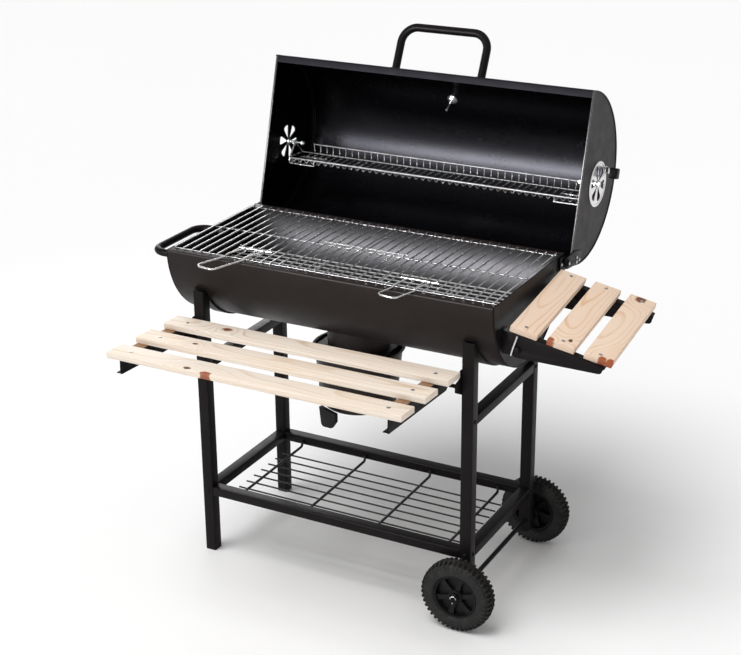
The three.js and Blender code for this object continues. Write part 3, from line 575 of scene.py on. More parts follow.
def firebox_shell():
    bm = bmesh.new()
    extruded(bm, folded(firebox_wall(), SHEET), BOX_LEFT + SHEET, BOX_RIGHT - SHEET)

    def inside(point, normal):
        near = hypot(point.y, point.z - RIM_Z) < DRUM_R - 1
        return near and BOX_LEFT + 1 < point.x < BOX_RIGHT - 1 and point.z < RIM_Z - 3

    shell = keep("firebox", bm, "trolley", "body_paint", BODY, HEARTH,
                 replaces=["firebox_shell"], inner=inside)
    hole = bmesh.new()
    turned(hole, [(0, 490), (62, 490), (62, 600), (0, 600)], Matrix.Translation((ASH_X, 0, 0)), 64)
    cut(shell, hole)
    # The rear bead takes the lighter edge paint, a painted highlight along the rear top corner; the front bead
    # keeps the cap paint.
    for edge, sign, material in (("front", -1, CAP), ("rear", 1, EDGE_HIGHLIGHT)):
        bm = bmesh.new()
        tube(bm, [(x, sign * (DRUM_R - 1.4), RIM_Z - 1.4) for x in (BOX_LEFT + 2, BOX_RIGHT - 2)], 1.0, 10)
        keep(f"firebox_rim_{edge}", bm, "trolley", "body_paint", material)


def inner_side(outward):
    """Picks the faces of a drum's end that look into the drum."""
    return lambda point, normal: normal.x * outward < -0.5


def drum_end(radius, centre_z, start, end, face, outward, holes=()):
    """A flat end with a rolled seam round its edge."""
    bm = bmesh.new()
    outline = arc(0, centre_z, radius - 0.6, start, end, 80)
    place = Matrix.Translation((face - SHEET if outward > 0 else face, 0, 0)) @ IN_YZ
    plate(bm, outline, SHEET, place, holes)
    bead = [(face + outward * 0.2, y, z) for y, z in arc(0, centre_z, radius - 1.4, start, end, 96)]
    tube(bm, bead, 1.6, 10)
    return bm


def firebox_ends():
    for side, face, outward in (("left", BOX_LEFT, -1), ("right", BOX_RIGHT, 1)):
        bm = drum_end(DRUM_R, RIM_Z, pi, tau, face, outward)
        tube(bm, [(face, y, RIM_Z - 0.6) for y in (3 - DRUM_R, DRUM_R - 3)], 1.3, 10)
        keep(f"firebox_cap_{side}", bm, "trolley", "body_paint", FRAME, INSIDE,
             replaces=[f"firebox_end_{side}"], inner=inner_side(outward))


def ash_collar():
    bm = bmesh.new()
    place = Matrix.Translation((ASH_X, 0, 0))
    low, high = COLLAR_Z + 0.5, COLLAR_Z + 57
    turned(bm, [(64, low), (66, low), (66, high), (64, high)], place, 72)
    collar = keep("ash_collar_ring", bm, "trolley", "body_paint", BODY, replaces=["ash_collar"])
    drum = bmesh.new()
    wall = DRUM_R + 0.2
    turned(drum, [(0, -160), (wall, -160), (wall, 160), (0, 160)], facing((0, 0, RIM_Z), (1, 0, 0)), 128)
    cut(collar, drum)
    bm = bmesh.new()
    square = rounded((ASH_X - 80, -80), (ASH_X + 80, 80), 8, 1)
    plate(bm, square, 2, Matrix.Translation((0, 0, COLLAR_Z)), [circle(ASH_X, 0, 64.5, 64)], 0.5)
    for cx, cy in ((62, 62), (-62, 62), (-62, -62), (62, -62)):
        hex_bolt(bm, (ASH_X + cx, cy, COLLAR_Z + 2), (0, 0, 1), 4.5, 3)
        pan_head(bm, (ASH_X + cx, cy, COLLAR_Z), (0, 0, -1), 5, 2.2)
    keep("ash_collar_flange", bm, "trolley", "body_paint", BODY)


def ash_cup():
    top, foot, wide = COLLAR_Z - 0.4, 376, 82.6
    outer = [(0, 354), (58, 354), *arc(66, 370, 16, radians(-80), radians(-5), 5)]
    outer += [(wide, foot), (94, top - 6), (95, top - 2.6), (97, top - 1.4), (100, top - 1.4)]
    inner = [(100, top), (95.6, top), (93.4, top - 1.6), (92.4, top - 6), (wide - SHEET, foot)]
    inner += [*arc(66, 370, 14.5, radians(-5), radians(-80), 5), (58, 355.5), (0, 355.5)]
    bm = bmesh.new()
    turned(bm, outer + inner, Matrix.Translation((ASH_X, 0, 0)), 96)
    for z in (398, 440):
        radius = wide + (z - foot) * (94 - wide) / (top - 6 - foot)
        tube(bm, [(x, y, z) for x, y in circle(ASH_X, 0, radius, 72)], 1.4, 8, closed=True)
    keep("ash_bucket", bm, "ash_pan", "body_paint", BODY, replaces=["ash_cup"])
    eased("ash_bucket_grip", "ash_cup_handle", "ash_pan", 1.6, 3, "black_plastic", PLASTIC)


def side_handle():
    bm = bmesh.new()
    face, front, rear, z = BOX_LEFT - 0.4, -150, 25, 681
    out = face - 55.6
    tube(bm, bent([(face, front, z), (out, front, z), (out, rear, z), (face, rear, z)], 30, 10), 8, 24)
    for y in (front, rear):
        turned(bm, [(0, 0), (11, 0), (11, 1), (10, 2), (0, 2)], facing((face, y, z), (-1, 0, 0)), 32)
    keep("cart_handle", bm, "trolley", "frame_paint", FRAME, replaces=["side_handle"])
    bm = bmesh.new()
    for y in (front, rear):
        hex_bolt(bm, (BOX_LEFT + SHEET, y, z), (1, 0, 0), 6, 4)
    keep("cart_handle_bolts", bm, "trolley", "zinc", ZINC)


firebox_shell()
firebox_ends()
ash_collar()
ash_cup()
side_handle()


# ---- lid, laid out shut ----

LID_LEFT, LID_RIGHT = -385, 374
LID_ENDS = (("left", LID_LEFT, -1), ("right", LID_RIGHT, 1))
LID_R = 182
LID_EDGE_Z = 705.5
LID_AXIS_Z = 724.3
LID_EDGE_ANGLE = asin((LID_AXIS_Z - LID_EDGE_Z) / LID_R)
LID_MIDDLE = (LID_LEFT + LID_RIGHT) / 2
VENT_Y, VENT_Z = 10, 801.5
PIN_Y, PIN_Z = 174.7, 679.3  # the hinge pins


def petals():
    """The six wedge-shaped openings of a vent, with rounded outer corners."""
    leaf = [(8, -1.2), (33, -9.7), (35.4, -9.5), (38.2, -6.8), (39, -4), (39, 4), (38.2, 6.8), (35.4, 9.5)]
    leaf += [(33, 9.7), (8, 1.2)]
    made = []
    for i in range(6):
        angle = pi / 2 + i * pi / 3
        c, s = cos(angle), sin(angle)
        made.append([(VENT_Y + a * c - b * s, VENT_Z + a * s + b * c) for a, b in leaf])
    return made


def lid_shell():
    middle_r = LID_R - SHEET / 2
    line = arc(0, LID_AXIS_Z, middle_r, pi + LID_EDGE_ANGLE, -LID_EDGE_ANGLE, 110)
    edge_y, edge_z = line[0][0], LID_EDGE_Z + SHEET / 2
    line = [(edge_y + 15, edge_z), *fold(edge_y, edge_z, 1), *line[2:]]
    bm = bmesh.new()
    extruded(bm, folded(line, SHEET), LID_LEFT + SHEET + 0.2, LID_RIGHT - SHEET - 0.2)

    for x in (LID_LEFT + 5.5, LID_LEFT + 10.5, LID_RIGHT - 5.5, LID_RIGHT - 10.5):
        seam = arc(0, LID_AXIS_Z, LID_R - SHEET - 0.3, pi - 0.02, 0.02, 96)
        tube(bm, [(x, y, z) for y, z in seam], 1.1, 8)

    def inside(point, normal):
        near = hypot(point.y, point.z - LID_AXIS_Z) < LID_R - 1
        return near and point.z > LID_EDGE_Z + 2 and abs(normal.x) < 0.5

    keep("lid_wall", bm, "lid", "body_paint", LID_OUTSIDE, INSIDE,
         replaces=["lid_shell"], turn=OPENED, inner=inside)


def lid_ends():
    for side, face, outward in LID_ENDS:
        holes = [*petals(), circle(VENT_Y, VENT_Z, 3.4, 12)]
        bm = drum_end(LID_R, LID_AXIS_Z, -LID_EDGE_ANGLE, pi + LID_EDGE_ANGLE, face, outward, holes)
        keep(f"lid_cap_{side}", bm, "lid", "cap_paint", CAP, INSIDE,
             replaces=[f"lid_end_{side}"], turn=OPENED, inner=inner_side(outward))


def lid_hems():
    """The rolled straight edges of the lid's ends, in the lighter edge paint whose colour paints in their
    highlight.
    """
    for side, face, outward in LID_ENDS:
        bm = bmesh.new()
        across = sorted((face + outward * 0.3, face - outward * 4.2))
        box(bm, (across[0], -180, LID_EDGE_Z - 0.4), (across[1], 179.5, LID_EDGE_Z + 4))
        softened(bm, 1.6, 3)
        keep(f"lid_hem_{side}", bm, "lid", "cap_paint", EDGE_HIGHLIGHT, turn=OPENED)


def vents():
    for side, face, outward in LID_ENDS:
        body = f"vent_{side}"
        centre = Matrix.Translation((0, VENT_Y, VENT_Z))
        set_at = Matrix.Rotation(radians(60 if outward < 0 else 0), 4, "X")
        knob_turn = OPENED @ centre @ set_at @ centre.inverted()
        low = min(face + outward * 0.4, face + outward * 1.6)
        bm = bmesh.new()
        holes = [*petals(), circle(VENT_Y, VENT_Z, 3.4, 12)]
        plate(bm, circle(VENT_Y, VENT_Z, 49, 72), 1.2, Matrix.Translation((low, 0, 0)) @ IN_YZ, holes, 0.35)
        place = facing((face + outward * 1.4, VENT_Y, VENT_Z), (outward, 0, 0))
        turned(bm, [(42.5, 0), (43.5, 0.9), (45.5, 1.2), (47.5, 0.9), (48.5, 0)], place, 72)
        keep(f"vent_shutter_{side}", bm, body, "chrome_wire", CHROME,
             replaces=[f"vent_disc_{side}"], turn=OPENED)

        def spot(out, y, z):
            return face + outward * (2 + out), VENT_Y + y, VENT_Z + z

        bm = bmesh.new()
        a, b = spot(9, -37, 33), spot(27, -14, 53)
        box(bm, [min(p) for p in zip(a, b)], [max(p) for p in zip(a, b)])
        softened(bm, 3.2, 3)
        keep(f"vent_grip_{side}", bm, body, "black_plastic", PLASTIC,
             replaces=[f"vent_knob_{side}"], turn=knob_turn)
        bm = bmesh.new()
        foot = [spot(0, -33, 30), spot(0, -33, 40), spot(2, -31, 42), spot(9.6, -28, 44)]
        for start, end in zip(foot, foot[1:]):
            section = [Vector((o * outward, s, 0)) for o, s in ((0, -6), (0, 6), (1.5, 6), (1.5, -6))]
            loft(bm, [[Vector(p) + q for q in section] for p in (start, end)])
        keep(f"vent_tab_{side}", bm, body, "zinc", ZINC, turn=knob_turn)
        bm = bmesh.new()
        hex_bolt(bm, spot(0, 0, 0), (outward, 0, 0), 6.4, 3.4)
        hex_bolt(bm, (face - outward * SHEET, VENT_Y, VENT_Z), (-outward, 0, 0), 6.4, 3.4)
        shank = [(face - outward * 44, VENT_Y, VENT_Z), (face + outward * 3, VENT_Y, VENT_Z)]
        wire(bm, *shank, 3, 14)
        nut = (face - outward * 37, VENT_Y, VENT_Z)
        hex_bolt(bm, nut, (-outward, 0, 0), 5.6, 4, washer=False)
        keep(f"vent_pin_{side}", bm, "lid", "zinc", ZINC, replaces=[f"vent_bolt_{side}"], turn=OPENED)


def lid_handle():
    angle = radians(10)
    bm = bmesh.new()

    def spot(x, reach):
        return x, -(LID_R + reach) * cos(angle), LID_AXIS_Z + (LID_R + reach) * sin(angle)

    x0, x1 = LID_MIDDLE - 103, LID_MIDDLE + 103
    tube(bm, bent([spot(x0, 0.5), spot(x0, 97.4), spot(x1, 97.4), spot(x1, 0.5)], 36, 12), 9, 28)
    away = (0, -cos(angle), sin(angle))
    for x in (x0, x1):
        turned(bm, [(0, 0), (13, 0), (13, 1), (12, 2), (0, 2)], facing(spot(x, 0.4), away), 36)
    keep("lid_grip", bm, "lid", "frame_paint", FRAME, replaces=["lid_handle"], turn=OPENED)
    bm = bmesh.new()
    for x in (x0, x1):
        hex_bolt(bm, spot(x, -1.6), [-a for a in away], 6, 4)
    keep("lid_grip_bolts", bm, "lid", "zinc", ZINC, turn=OPENED)


def thermometer():
    angle = radians(44)
    away = Vector((0, -cos(angle), sin(angle)))
    seat = Vector((LID_MIDDLE, 0, LID_AXIS_Z))
    place = facing(seat + away * LID_R, away)
    bm = bmesh.new()
    case = [(0, 0.6), (26, 0.6), (28.6, 2.4), (30, 5), (30, 11.6), (29, 13.4)]
    bezel = [(27, 14), (25.6, 13), (25.4, 10.6), (0, 10.6)]
    turned(bm, [*case, *bezel], place, 72)
    tip = [(2.4 * sin(t), -36.6 - 2.4 * cos(t)) for t in (radians(a) for a in range(30, 150, 24))]
    stem = [(0, -39), *tip, (1.5, -34), (1.5, -16), (2.4, -15), (2.4, 2), (0, 2)]
    turned(bm, stem, place, 20)
    hex_bolt(bm, seat + away * (LID_R - SHEET), -away, 8.2, 6)
    keep("thermometer_case", bm, "lid", "zinc", ZINC, replaces=["thermometer"], turn=OPENED)
    bm = bmesh.new()
    turned(bm, [(0, 10.7), (25.2, 10.7), (25.2, 11), (0, 11)], place, 64)
    keep("thermometer_face", bm, "lid", "zinc", DIAL, turn=OPENED)
    bm = bmesh.new()
    for i in range(28):
        turn = radians(-225 + 270 * i / 27)
        reach = 18.5 if i % 3 == 0 else 20.5
        box(bm, (reach, -0.35, 11), (23, 0.35, 11.25), place @ Matrix.Rotation(turn, 4, "Z"))
    needle = place @ Matrix.Rotation(radians(-200), 4, "Z")
    pointer = ((-5, -1), (19, -0.2), (19, 0.2), (-5, 1))
    loft(bm, [[needle @ Vector((x, y, z)) for x, y in pointer] for z in (11.4, 12)])
    turned(bm, [(0, 11), (2.2, 11), (2.2, 12.4), (0, 12.6)], place, 20)
    keep("thermometer_marks", bm, "lid", "zinc", PLASTIC, turn=OPENED)


def hinges():
    for side, face, outward in LID_ENDS:
        eased(f"hinge_plate_{side}", f"hinge_strap_{side}", "lid", 0.5)
        bm = bmesh.new()
        for y, z in ((164, 729), (169, 745), (173.5, 731)):
            pan_head(bm, (face + outward * 3.4, y, z), (outward, 0, 0), 3.6, 2.4)
            hex_bolt(bm, (face - outward * SHEET, y, z), (-outward, 0, 0), 3.4, 2.6)
        keep(f"hinge_plate_bolts_{side}", bm, "lid", "zinc", ZINC, turn=OPENED)
        eased(f"hinge_ear_{side}", f"hinge_bracket_{side}", "trolley", 0.5)
        bm = bmesh.new()
        pan_head(bm, (face + outward * 5.4, PIN_Y, PIN_Z), (outward, 0, 0), 4.4, 2.8)
        end = BOX_LEFT - 4.6 if outward < 0 else BOX_RIGHT + 4.6
        pan_head(bm, (end, 158, 680), (outward, 0, 0), 3.8, 2.4)
        keep(f"hinge_pin_{side}", bm, "trolley", "zinc", ZINC)
        bm = bmesh.new()
        boss = facing((face + outward * 3.9, PIN_Y, PIN_Z), (outward, 0, 0))
        turned(bm, [(0, 0), (9.5, 0), (9.5, 1.2), (8.6, 1.8), (0, 1.8)], boss, 32)
        keep(f"hinge_boss_{side}", bm, "trolley", "frame_paint", FRAME)


lid_shell()
lid_ends()
lid_hems()
vents()
lid_handle()
thermometer()
hinges()


# ---- wires: warming rack and grates ----


def spaced(first, last, pitch):
    """Evenly spaced places from first to last, about a pitch apart."""
    count = round((last - first) / pitch)
    return [first + (last - first) * i / count for i in range(count + 1)]


def warming_rack():
    bolt = OPENED @ Vector((0, VENT_Y, VENT_Z))
    left, right = LID_LEFT + 20, LID_RIGHT - 20
    front, back, floor = bolt.y - 28, bolt.y + 32, bolt.z - 30
    fence, skirt, pitch = floor + 20, floor - 12, 16.7
    bm = bmesh.new()
    wire(bm, (left, front, floor), (right, front, floor), 1.6, 12)
    wire(bm, (left, back, floor - 1.2), (right, back, floor - 1.2), 1.2, 10)
    wire(bm, (left + 29, back + 1, fence), (right - 3, back + 1, fence), 1.1, 10)
    keep("warming_rails", bm, "rack", "chrome_wire", STEEL)
    bm = bmesh.new()
    for x in spaced(left + 32, right - 6, pitch):
        corners = [(x, front - 0.5, floor + 1.2), (x, back, floor + 1.2), (x, back, fence + 3)]
        tube(bm, bent(corners, 4, 4), 0.95, 8)
    for x in spaced(left + 12, right - 12, pitch):
        droop = [(x - 6, front - 1, floor - 1), (x, front - 2.4, floor - 8.5), (x + 6, front - 1, floor - 1)]
        tube(bm, bent(droop, 1.5, 3), 0.65, 6)
    for end, inward in ((left, 1), (right, -1)):
        near, far = sorted((end, end + inward * 66))
        wire(bm, (near, front - 3, skirt), (far, front - 3, skirt), 1.5, 10)
        wire(bm, (near, back - 2, skirt), (far, back - 2, skirt), 1.3, 10)
        wire(bm, (end + inward * 64, front, floor), (end + inward * 64, front - 3, skirt), 1.0, 8)
        for reach in (16, 32, 48, 64):
            x = end + inward * reach
            wire(bm, (x, front - 3, skirt - 0.6), (x, back - 2, skirt - 0.6), 0.9, 8)
        ring = [(end, y, z) for y, z in circle(bolt.y, bolt.z, 5.4, 20)]
        tube(bm, ring, 1.6, 8, closed=True)
        hanger = [(end, bolt.y - 4.4, bolt.z - 4), (end, front, floor)]
        hanger += [(end, front - 3, skirt), (end, back - 2, skirt)]
        tube(bm, bent(hanger, 4, 4), 1.8, 10)
        tube(bm, [(end, bolt.y + 4.4, bolt.z - 4), (end, back, floor - 1)], 1.5, 8)
        tube(bm, [(end, front, floor + 1), (end, back, floor - 1)], 1.5, 8)
    keep("warming_basket", bm, "rack", "chrome_wire", CHROME, replaces=["warming_rack"])


WIRE_Z = 702.6  # the middle of the cooking grates' long wires
WIRE_PITCH = 20.5
COAL_Z = 612.5  # the middle of the charcoal grate's long wires
GRATE_LEFT, GRATE_RIGHT = BOX_LEFT + 3.5, BOX_RIGHT - 3.5


# Each lifting loop's bar, by its middle, half the loop's width there, and the corners of its bow
LOOPS = {
    "left": ((-199, -112), 23, ((-266, -236), (-221, -243))),
    "right": ((184, -120), 25, ((136, -213), (179, -219))),
}
CLIPS = {"left": (-100, -8.5), "right": (-1.5, 95)}  # the ends of the short toothed clips


def grate_loop(bm, bar, half, bow):
    """A lifting loop: its bar lies across the grate and its bow stands out over the rim."""
    bar_x, bar_y = bar
    top, rim_top, bend_y, rim_y = WIRE_Z + 4.6, RIM_Z + 2.6, -159.3, -163.3

    def leg(start_x, bow_x, bow_y):
        def at(y, z):
            return start_x + (bow_x - start_x) * (bar_y - y) / (bar_y - bow_y), y, z

        return [at(bar_y, top), at(bend_y, top), at(rim_y, rim_top), (bow_x, bow_y, rim_top)]

    near = leg(bar_x - half, *bow[0])
    far = leg(bar_x + half, *bow[1])
    tube(bm, bent([*near, *far[::-1]], 12, 6), 1.9, 12)
    wire(bm, (bar_x - half - 17, bar_y, top), (bar_x + half + 17, bar_y, top), 1.9, 12)
    for reach in (-half - 12, -8, 8, half + 12):
        wire(bm, (bar_x + reach, bar_y, top - 3), (bar_x + reach, bar_y, top + 6), 1.3, 8)


def cooking_grates():
    """Two grates side by side, each with its lifting loop and a short toothed clip."""
    for side, left, right in (("left", GRATE_LEFT, BOX_MIDDLE - 1), ("right", BOX_MIDDLE + 1, GRATE_RIGHT)):
        body = f"grate_{side}"
        start, end = CLIPS[side]
        bm = bmesh.new()
        for x in spaced(left + 5, right - 5, WIRE_PITCH):
            wire(bm, (x, -158, WIRE_Z), (x, 158, WIRE_Z), 1.7, 10)
        wire(bm, (start, 3, WIRE_Z + 2.6), (end, 3, WIRE_Z + 2.6), 1.2, 10)
        for x in spaced(start + 4, end - 4, 21):
            wire(bm, (x, 3, WIRE_Z + 1), (x, 3, WIRE_Z + 7), 1.3, 8)
        keep(f"grill_wires_{side}", bm, body, "chrome_wire", CHROME, replaces=[f"cooking_grate_{side}"])
        bm = bmesh.new()
        for y, radius in ((-153, 1.2), (0, 1.6), (153, 1.6)):
            wire(bm, (left, y, WIRE_Z - 3.2), (right, y, WIRE_Z - 3.2), radius, 12)
        keep(f"grill_bars_{side}", bm, body, "chrome_wire", STEEL)
        bm = bmesh.new()
        grate_loop(bm, *LOOPS[side])
        keep(f"grill_loop_{side}", bm, body, "chrome_wire", CHROME, replaces=[f"grate_handle_{side}"])


def charcoal_grate():
    bm = bmesh.new()
    for y in spaced(-123, 123, WIRE_PITCH):
        wire(bm, (GRATE_LEFT, y, COAL_Z), (GRATE_RIGHT, y, COAL_Z), 1.9, 10)
    for x in spaced(GRATE_LEFT + 40, GRATE_RIGHT - 40, 165):
        wire(bm, (x, -126.5, COAL_Z - 3.8), (x, 126.5, COAL_Z - 3.8), 1.9, 10)
    keep("charcoal_wires", bm, "coal_grate", "chrome_wire", COAL_WIRE, replaces=["charcoal_grate"])


warming_rack()
cooking_grates()
charcoal_grate()


# ---- trolley ----

LEG_X, LEG_Y, TUBE = 298, 142, 25
LEG_TOP, SADDLE_R = 616, 179.2
BOTTOM_RAIL_Z, UPPER_RAIL_Z = 148, 445


def legs():
    """Square tubes whose tops are cut to the saddles' curve."""
    for side, sign_x in (("left", -1), ("right", 1)):
        for end, sign_y in (("front", -1), ("rear", 1)):
            foot = 0 if sign_x < 0 else 52
            square = rounded((0, 0), (TUBE, TUBE), 2.2, 4)
            section = [(sign_x * (LEG_X + x), sign_y * (LEG_Y + y)) for x, y in square]
            top = [min(LEG_TOP, RIM_Z - sqrt((SADDLE_R + 2.4)**2 - y * y)) for _, y in section]
            rings = [[Vector((x, y, z)) for x, y in section] for z in (foot, foot + 1, 570)]
            rings.append([Vector((x, y, z)) for (x, y), z in zip(section, top)])
            bm = bmesh.new()
            loft(bm, rings)
            keep(f"post_{end}_{side}", bm, "trolley", "frame_paint", FRAME,
                 replaces=[f"leg_{end}_{side}"])


def saddles():
    for side, sign in (("left", -1), ("right", 1)):
        line = arc(0, RIM_Z, SADDLE_R, radians(207), radians(333), 72)
        bm = bmesh.new()
        extruded(bm, folded(line, 3.2), *sorted((sign * LEG_X, sign * (LEG_X + TUBE))))
        softened(bm, 0.6, 2, radians(60))
        for bearing in (222, 318):
            a = radians(bearing)
            reach = 0.985 * (SADDLE_R - 1.8)
            head = (sign * (LEG_X + TUBE / 2), reach * cos(a), RIM_Z + reach * sin(a))
            hex_bolt(bm, head, (0, -cos(a), -sin(a)), 4.6, 3)
        keep(f"cradle_{side}", bm, "trolley", "frame_paint", FRAME, replaces=[f"saddle_{side}"])


def rails():
    for node in (
        "bottom_rail_left", "bottom_rail_right", "bottom_rail_front", "bottom_rail_rear",
        "upper_rail_left", "upper_rail_right",
    ):
        eased(node + "_tube", node, "trolley", 1.8, 3)


def leg_bolts():
    """The heads that show on the outside of the legs, on the rails and round the rack."""
    bm = bmesh.new()
    for sign_x in (-1, 1):
        outside = sign_x * (LEG_X + TUBE)
        for sign_y in (-1, 1):
            y = sign_y * (LEG_Y + TUBE / 2)
            for z in (BOTTOM_RAIL_Z, UPPER_RAIL_Z):
                pan_head(bm, (outside, y, z), (sign_x, 0, 0), 4.6, 2.4)
            face = (sign_x * (LEG_X + TUBE / 2), sign_y * (LEG_Y + TUBE), BOTTOM_RAIL_Z)
            pan_head(bm, face, (0, sign_y, 0), 4.6, 2.4)
    keep("frame_bolts", bm, "trolley", "frame_paint", FRAME)


def bottom_rack():
    bm = bmesh.new()
    z, end = 135, LEG_Y - 0.8
    for y in spaced(-93, 93, 31):
        wire(bm, (-277, y, z - 4.6), (277, y, z - 4.6), 1.9, 10)
    for x in spaced(-249, 249, 166):
        hook = [(x, -end + 3, z + 15), (x, -end + 3, z), (x, end - 3, z), (x, end - 3, z + 15)]
        tube(bm, bent(hook, 7, 5), 3, 14)
    keep("shelf_wires", bm, "trolley", "black_wire", BLACK_WIRE, replaces=["bottom_rack"])


legs()
saddles()
rails()
leg_bolts()
bottom_rack()


# ---- axle and wheels ----

AXLE_X, AXLE_END = 313, 232.5
WHEEL_R, WHEEL_Y = 78, 203
TREAD_BLOCKS = 44


def axle():
    bm = bmesh.new()
    wire(bm, (AXLE_X, -AXLE_END, WHEEL_R), (AXLE_X, AXLE_END, WHEEL_R), 5, 24)
    keep("axle_rod", bm, "trolley", "frame_paint", FRAME, replaces=["axle"])
    bm = bmesh.new()
    for sign in (-1, 1):
        y = sign * (AXLE_END - 5.5)
        ring = [(x, y, z) for x, z in circle(AXLE_X, WHEEL_R + 1, 6, 28)[:24]]
        tube(bm, ring, 1.1, 8)
        wire(bm, (AXLE_X - 1, y, WHEEL_R + 9), (AXLE_X - 1, y, WHEEL_R - 10), 1.2, 8)
    keep("axle_pins", bm, "trolley", "zinc", ZINC)
    bm = bmesh.new()
    for sign in (-1, 1):
        washer = facing((AXLE_X, sign * (AXLE_END - 10.9), WHEEL_R), (0, sign, 0))
        turned(bm, [(5.2, 0), (10, 0), (10, 1.2), (9.4, 1.6), (5.2, 1.6)], washer, 36)
    keep("axle_washers", bm, "trolley", "frame_paint", FRAME)


def wheel(side, sign):
    """A tyre with two rows of tread blocks on a six-spoked hub."""
    place = facing((AXLE_X, sign * WHEEL_Y, WHEEL_R), (0, sign, 0))
    half = [(47.4, -15), (50, -17.4), (58, -18), (66, -17.2), (71.5, -14.5), (73.6, -10.5), (74.4, -5)]
    bm = bmesh.new()
    turned(bm, [*half, (74.6, 0), *((r, -h) for r, h in half[::-1])], place, 96)
    for edge in (-1, 1):
        for i in range(TREAD_BLOCKS):
            turn = place @ Matrix.Rotation(tau * (i + (0.5 if edge > 0 else 0)) / TREAD_BLOCKS, 4, "Z")
            across = sorted((edge * 4.6, edge * 15.2))
            verts = box(bm, (72, -2.9, across[0]), (77.8, 2.9, across[1]), turn)
            for v in verts:
                local = turn.inverted() @ v.co
                if local.x > 75:
                    local.y *= 0.78
                    if abs(local.z) > 10:
                        local.x -= 2.2
                    v.co = turn @ local
            low, high = sorted((edge * 16.6, edge * 17.9))
            box(bm, (61, -2.2, low), (69.5, 2.2, high), turn)
        rib = [(73, -1.4), (75.4, -0.9), (77.4, -0.6), (77.4, 0.6), (75.4, 0.9), (73, 1.4)]
        turned(bm, [(r, edge * 2.2 + h) for r, h in rib], place, 96)
        bead = [(51, edge * 17.4 - 0.6), (52.4, edge * 18.1), (54, edge * 17.6)]
        turned(bm, [*bead, (52.4, edge * 16.4)], place, 96)
    keep(f"tread_{side}", bm, f"wheel_{side}", "tyre_rubber", RUBBER, replaces=[f"tyre_{side}"])
    bm = bmesh.new()
    turned(bm, [(42, -15), (46, -15.4), (47.2, -14), (47.2, 14), (46, 15.4), (43.4, 15), (42, 12)], place, 96)
    turned(bm, [(13, 1), (43, 1), (43, 4), (13, 4)], place, 72)
    boss = [(5.4, -27), (14, -27), (15, -25), (16, 11), (14.6, 14), (12, 14.6), (11, 12), (5.4, 12)]
    turned(bm, boss, place, 48)
    for i in range(6):
        turn = place @ Matrix.Rotation(radians(60 * i + 15), 4, "Z")
        spoke = [(12, -5.4), (30, -4.4), (44, -7.2), (44, 7.2), (30, 4.4), (12, 5.4)]
        part = bmesh.new()
        loft(part, [[Vector((x, y, z)) for x, y in spoke] for z in (-8, 11.4)])
        softened(part, 1.6, 2, radians(60))
        joined(bm, part, turn)
    keep(f"wheel_hub_{side}", bm, f"wheel_{side}", "black_plastic", PLASTIC, replaces=[f"hub_{side}"])


axle()
wheel("front", -1)
wheel("rear", 1)


# ---- shelves ----

BOARD = 13  # the slats' thickness
FRONT_PITCH, SIDE_PITCH = 98.5, 75.5
FRONT = Matrix.Translation((0, -175, 556)) @ Matrix.Rotation(radians(-2.5), 4, "X")
SIDE_X, SIDE_TOP = 381.7, 667.2
SIDE_LEAN = Matrix.Rotation(radians(3.1), 4, "X") @ Matrix.Rotation(radians(12), 4, "Y")
SIDE = Matrix.Translation((SIDE_X, 0, SIDE_TOP)) @ Matrix.Rotation(radians(2.8), 4, "Z") @ SIDE_LEAN


def slat(name, node, body, place, length, width, material):
    """A planed board with eased edges, its long side along its own X axis."""
    bm = bmesh.new()
    corner = Vector((length, width, BOARD)) / 2
    box(bm, -corner, corner)
    softened(bm, 1.5, 3)
    keep(name, bm, body, "pine", material, replaces=[node], own=place)


def front_shelf():
    knots = {
        1: [(-0.191, 0.004, 0.0095, 0.45)],
        2: [(-0.201, 0.0, 0.0055, 0.15)],
        3: [(-0.141, -0.020, 0.0070, 0.1), (-0.095, -0.027, 0.010, 0.8)],
    }
    for i in range(3):
        place = FRONT @ Matrix.Translation((-29.5, -FRONT_PITCH * i - 27, -BOARD / 2))
        wood = pine(f"pine_front_{i + 1}", 3 + i, knots[i + 1])
        slat(f"front_board_{i + 1}", f"front_slat_{i + 1}", "front_shelf", place, 657, 54, wood)
    for side in ("left", "right"):
        eased(f"front_rail_{side}", f"front_arm_{side}", "front_shelf", 0.5)
        eased(f"front_pivot_{side}", f"shelf_bracket_{side}", "trolley", 0.5)
    # Battens under the slats, in the darkened pine that paints in their shade.
    for side, x in (("left", -342), ("right", 254)):
        bm = bmesh.new()
        box(bm, (-92.5, -14, -7.2), (92.5, 14, 7.2))
        softened(bm, 1.2, 2)
        place = FRONT @ Matrix.Translation((x, -112.5, -20.8)) @ Matrix.Rotation(pi / 2, 4, "Z")
        keep(f"front_batten_{side}", bm, "front_shelf", "pine", SHADED_BATTEN, own=place)
    bm = bmesh.new()
    for i in range(3):
        for x in (-314.5, 260.5):
            place = FRONT @ Vector((x, -FRONT_PITCH * i - 30, -0.3))
            pan_head(bm, place, FRONT.to_3x3() @ Vector((0, 0, 1)), 4.2, 1.3)
    for x in (-322.4, 274.6):
        pan_head(bm, (x, -176, 542), (1, 0, 0), 4, 2)
    keep("front_shelf_screws", bm, "front_shelf", "zinc", ZINC)


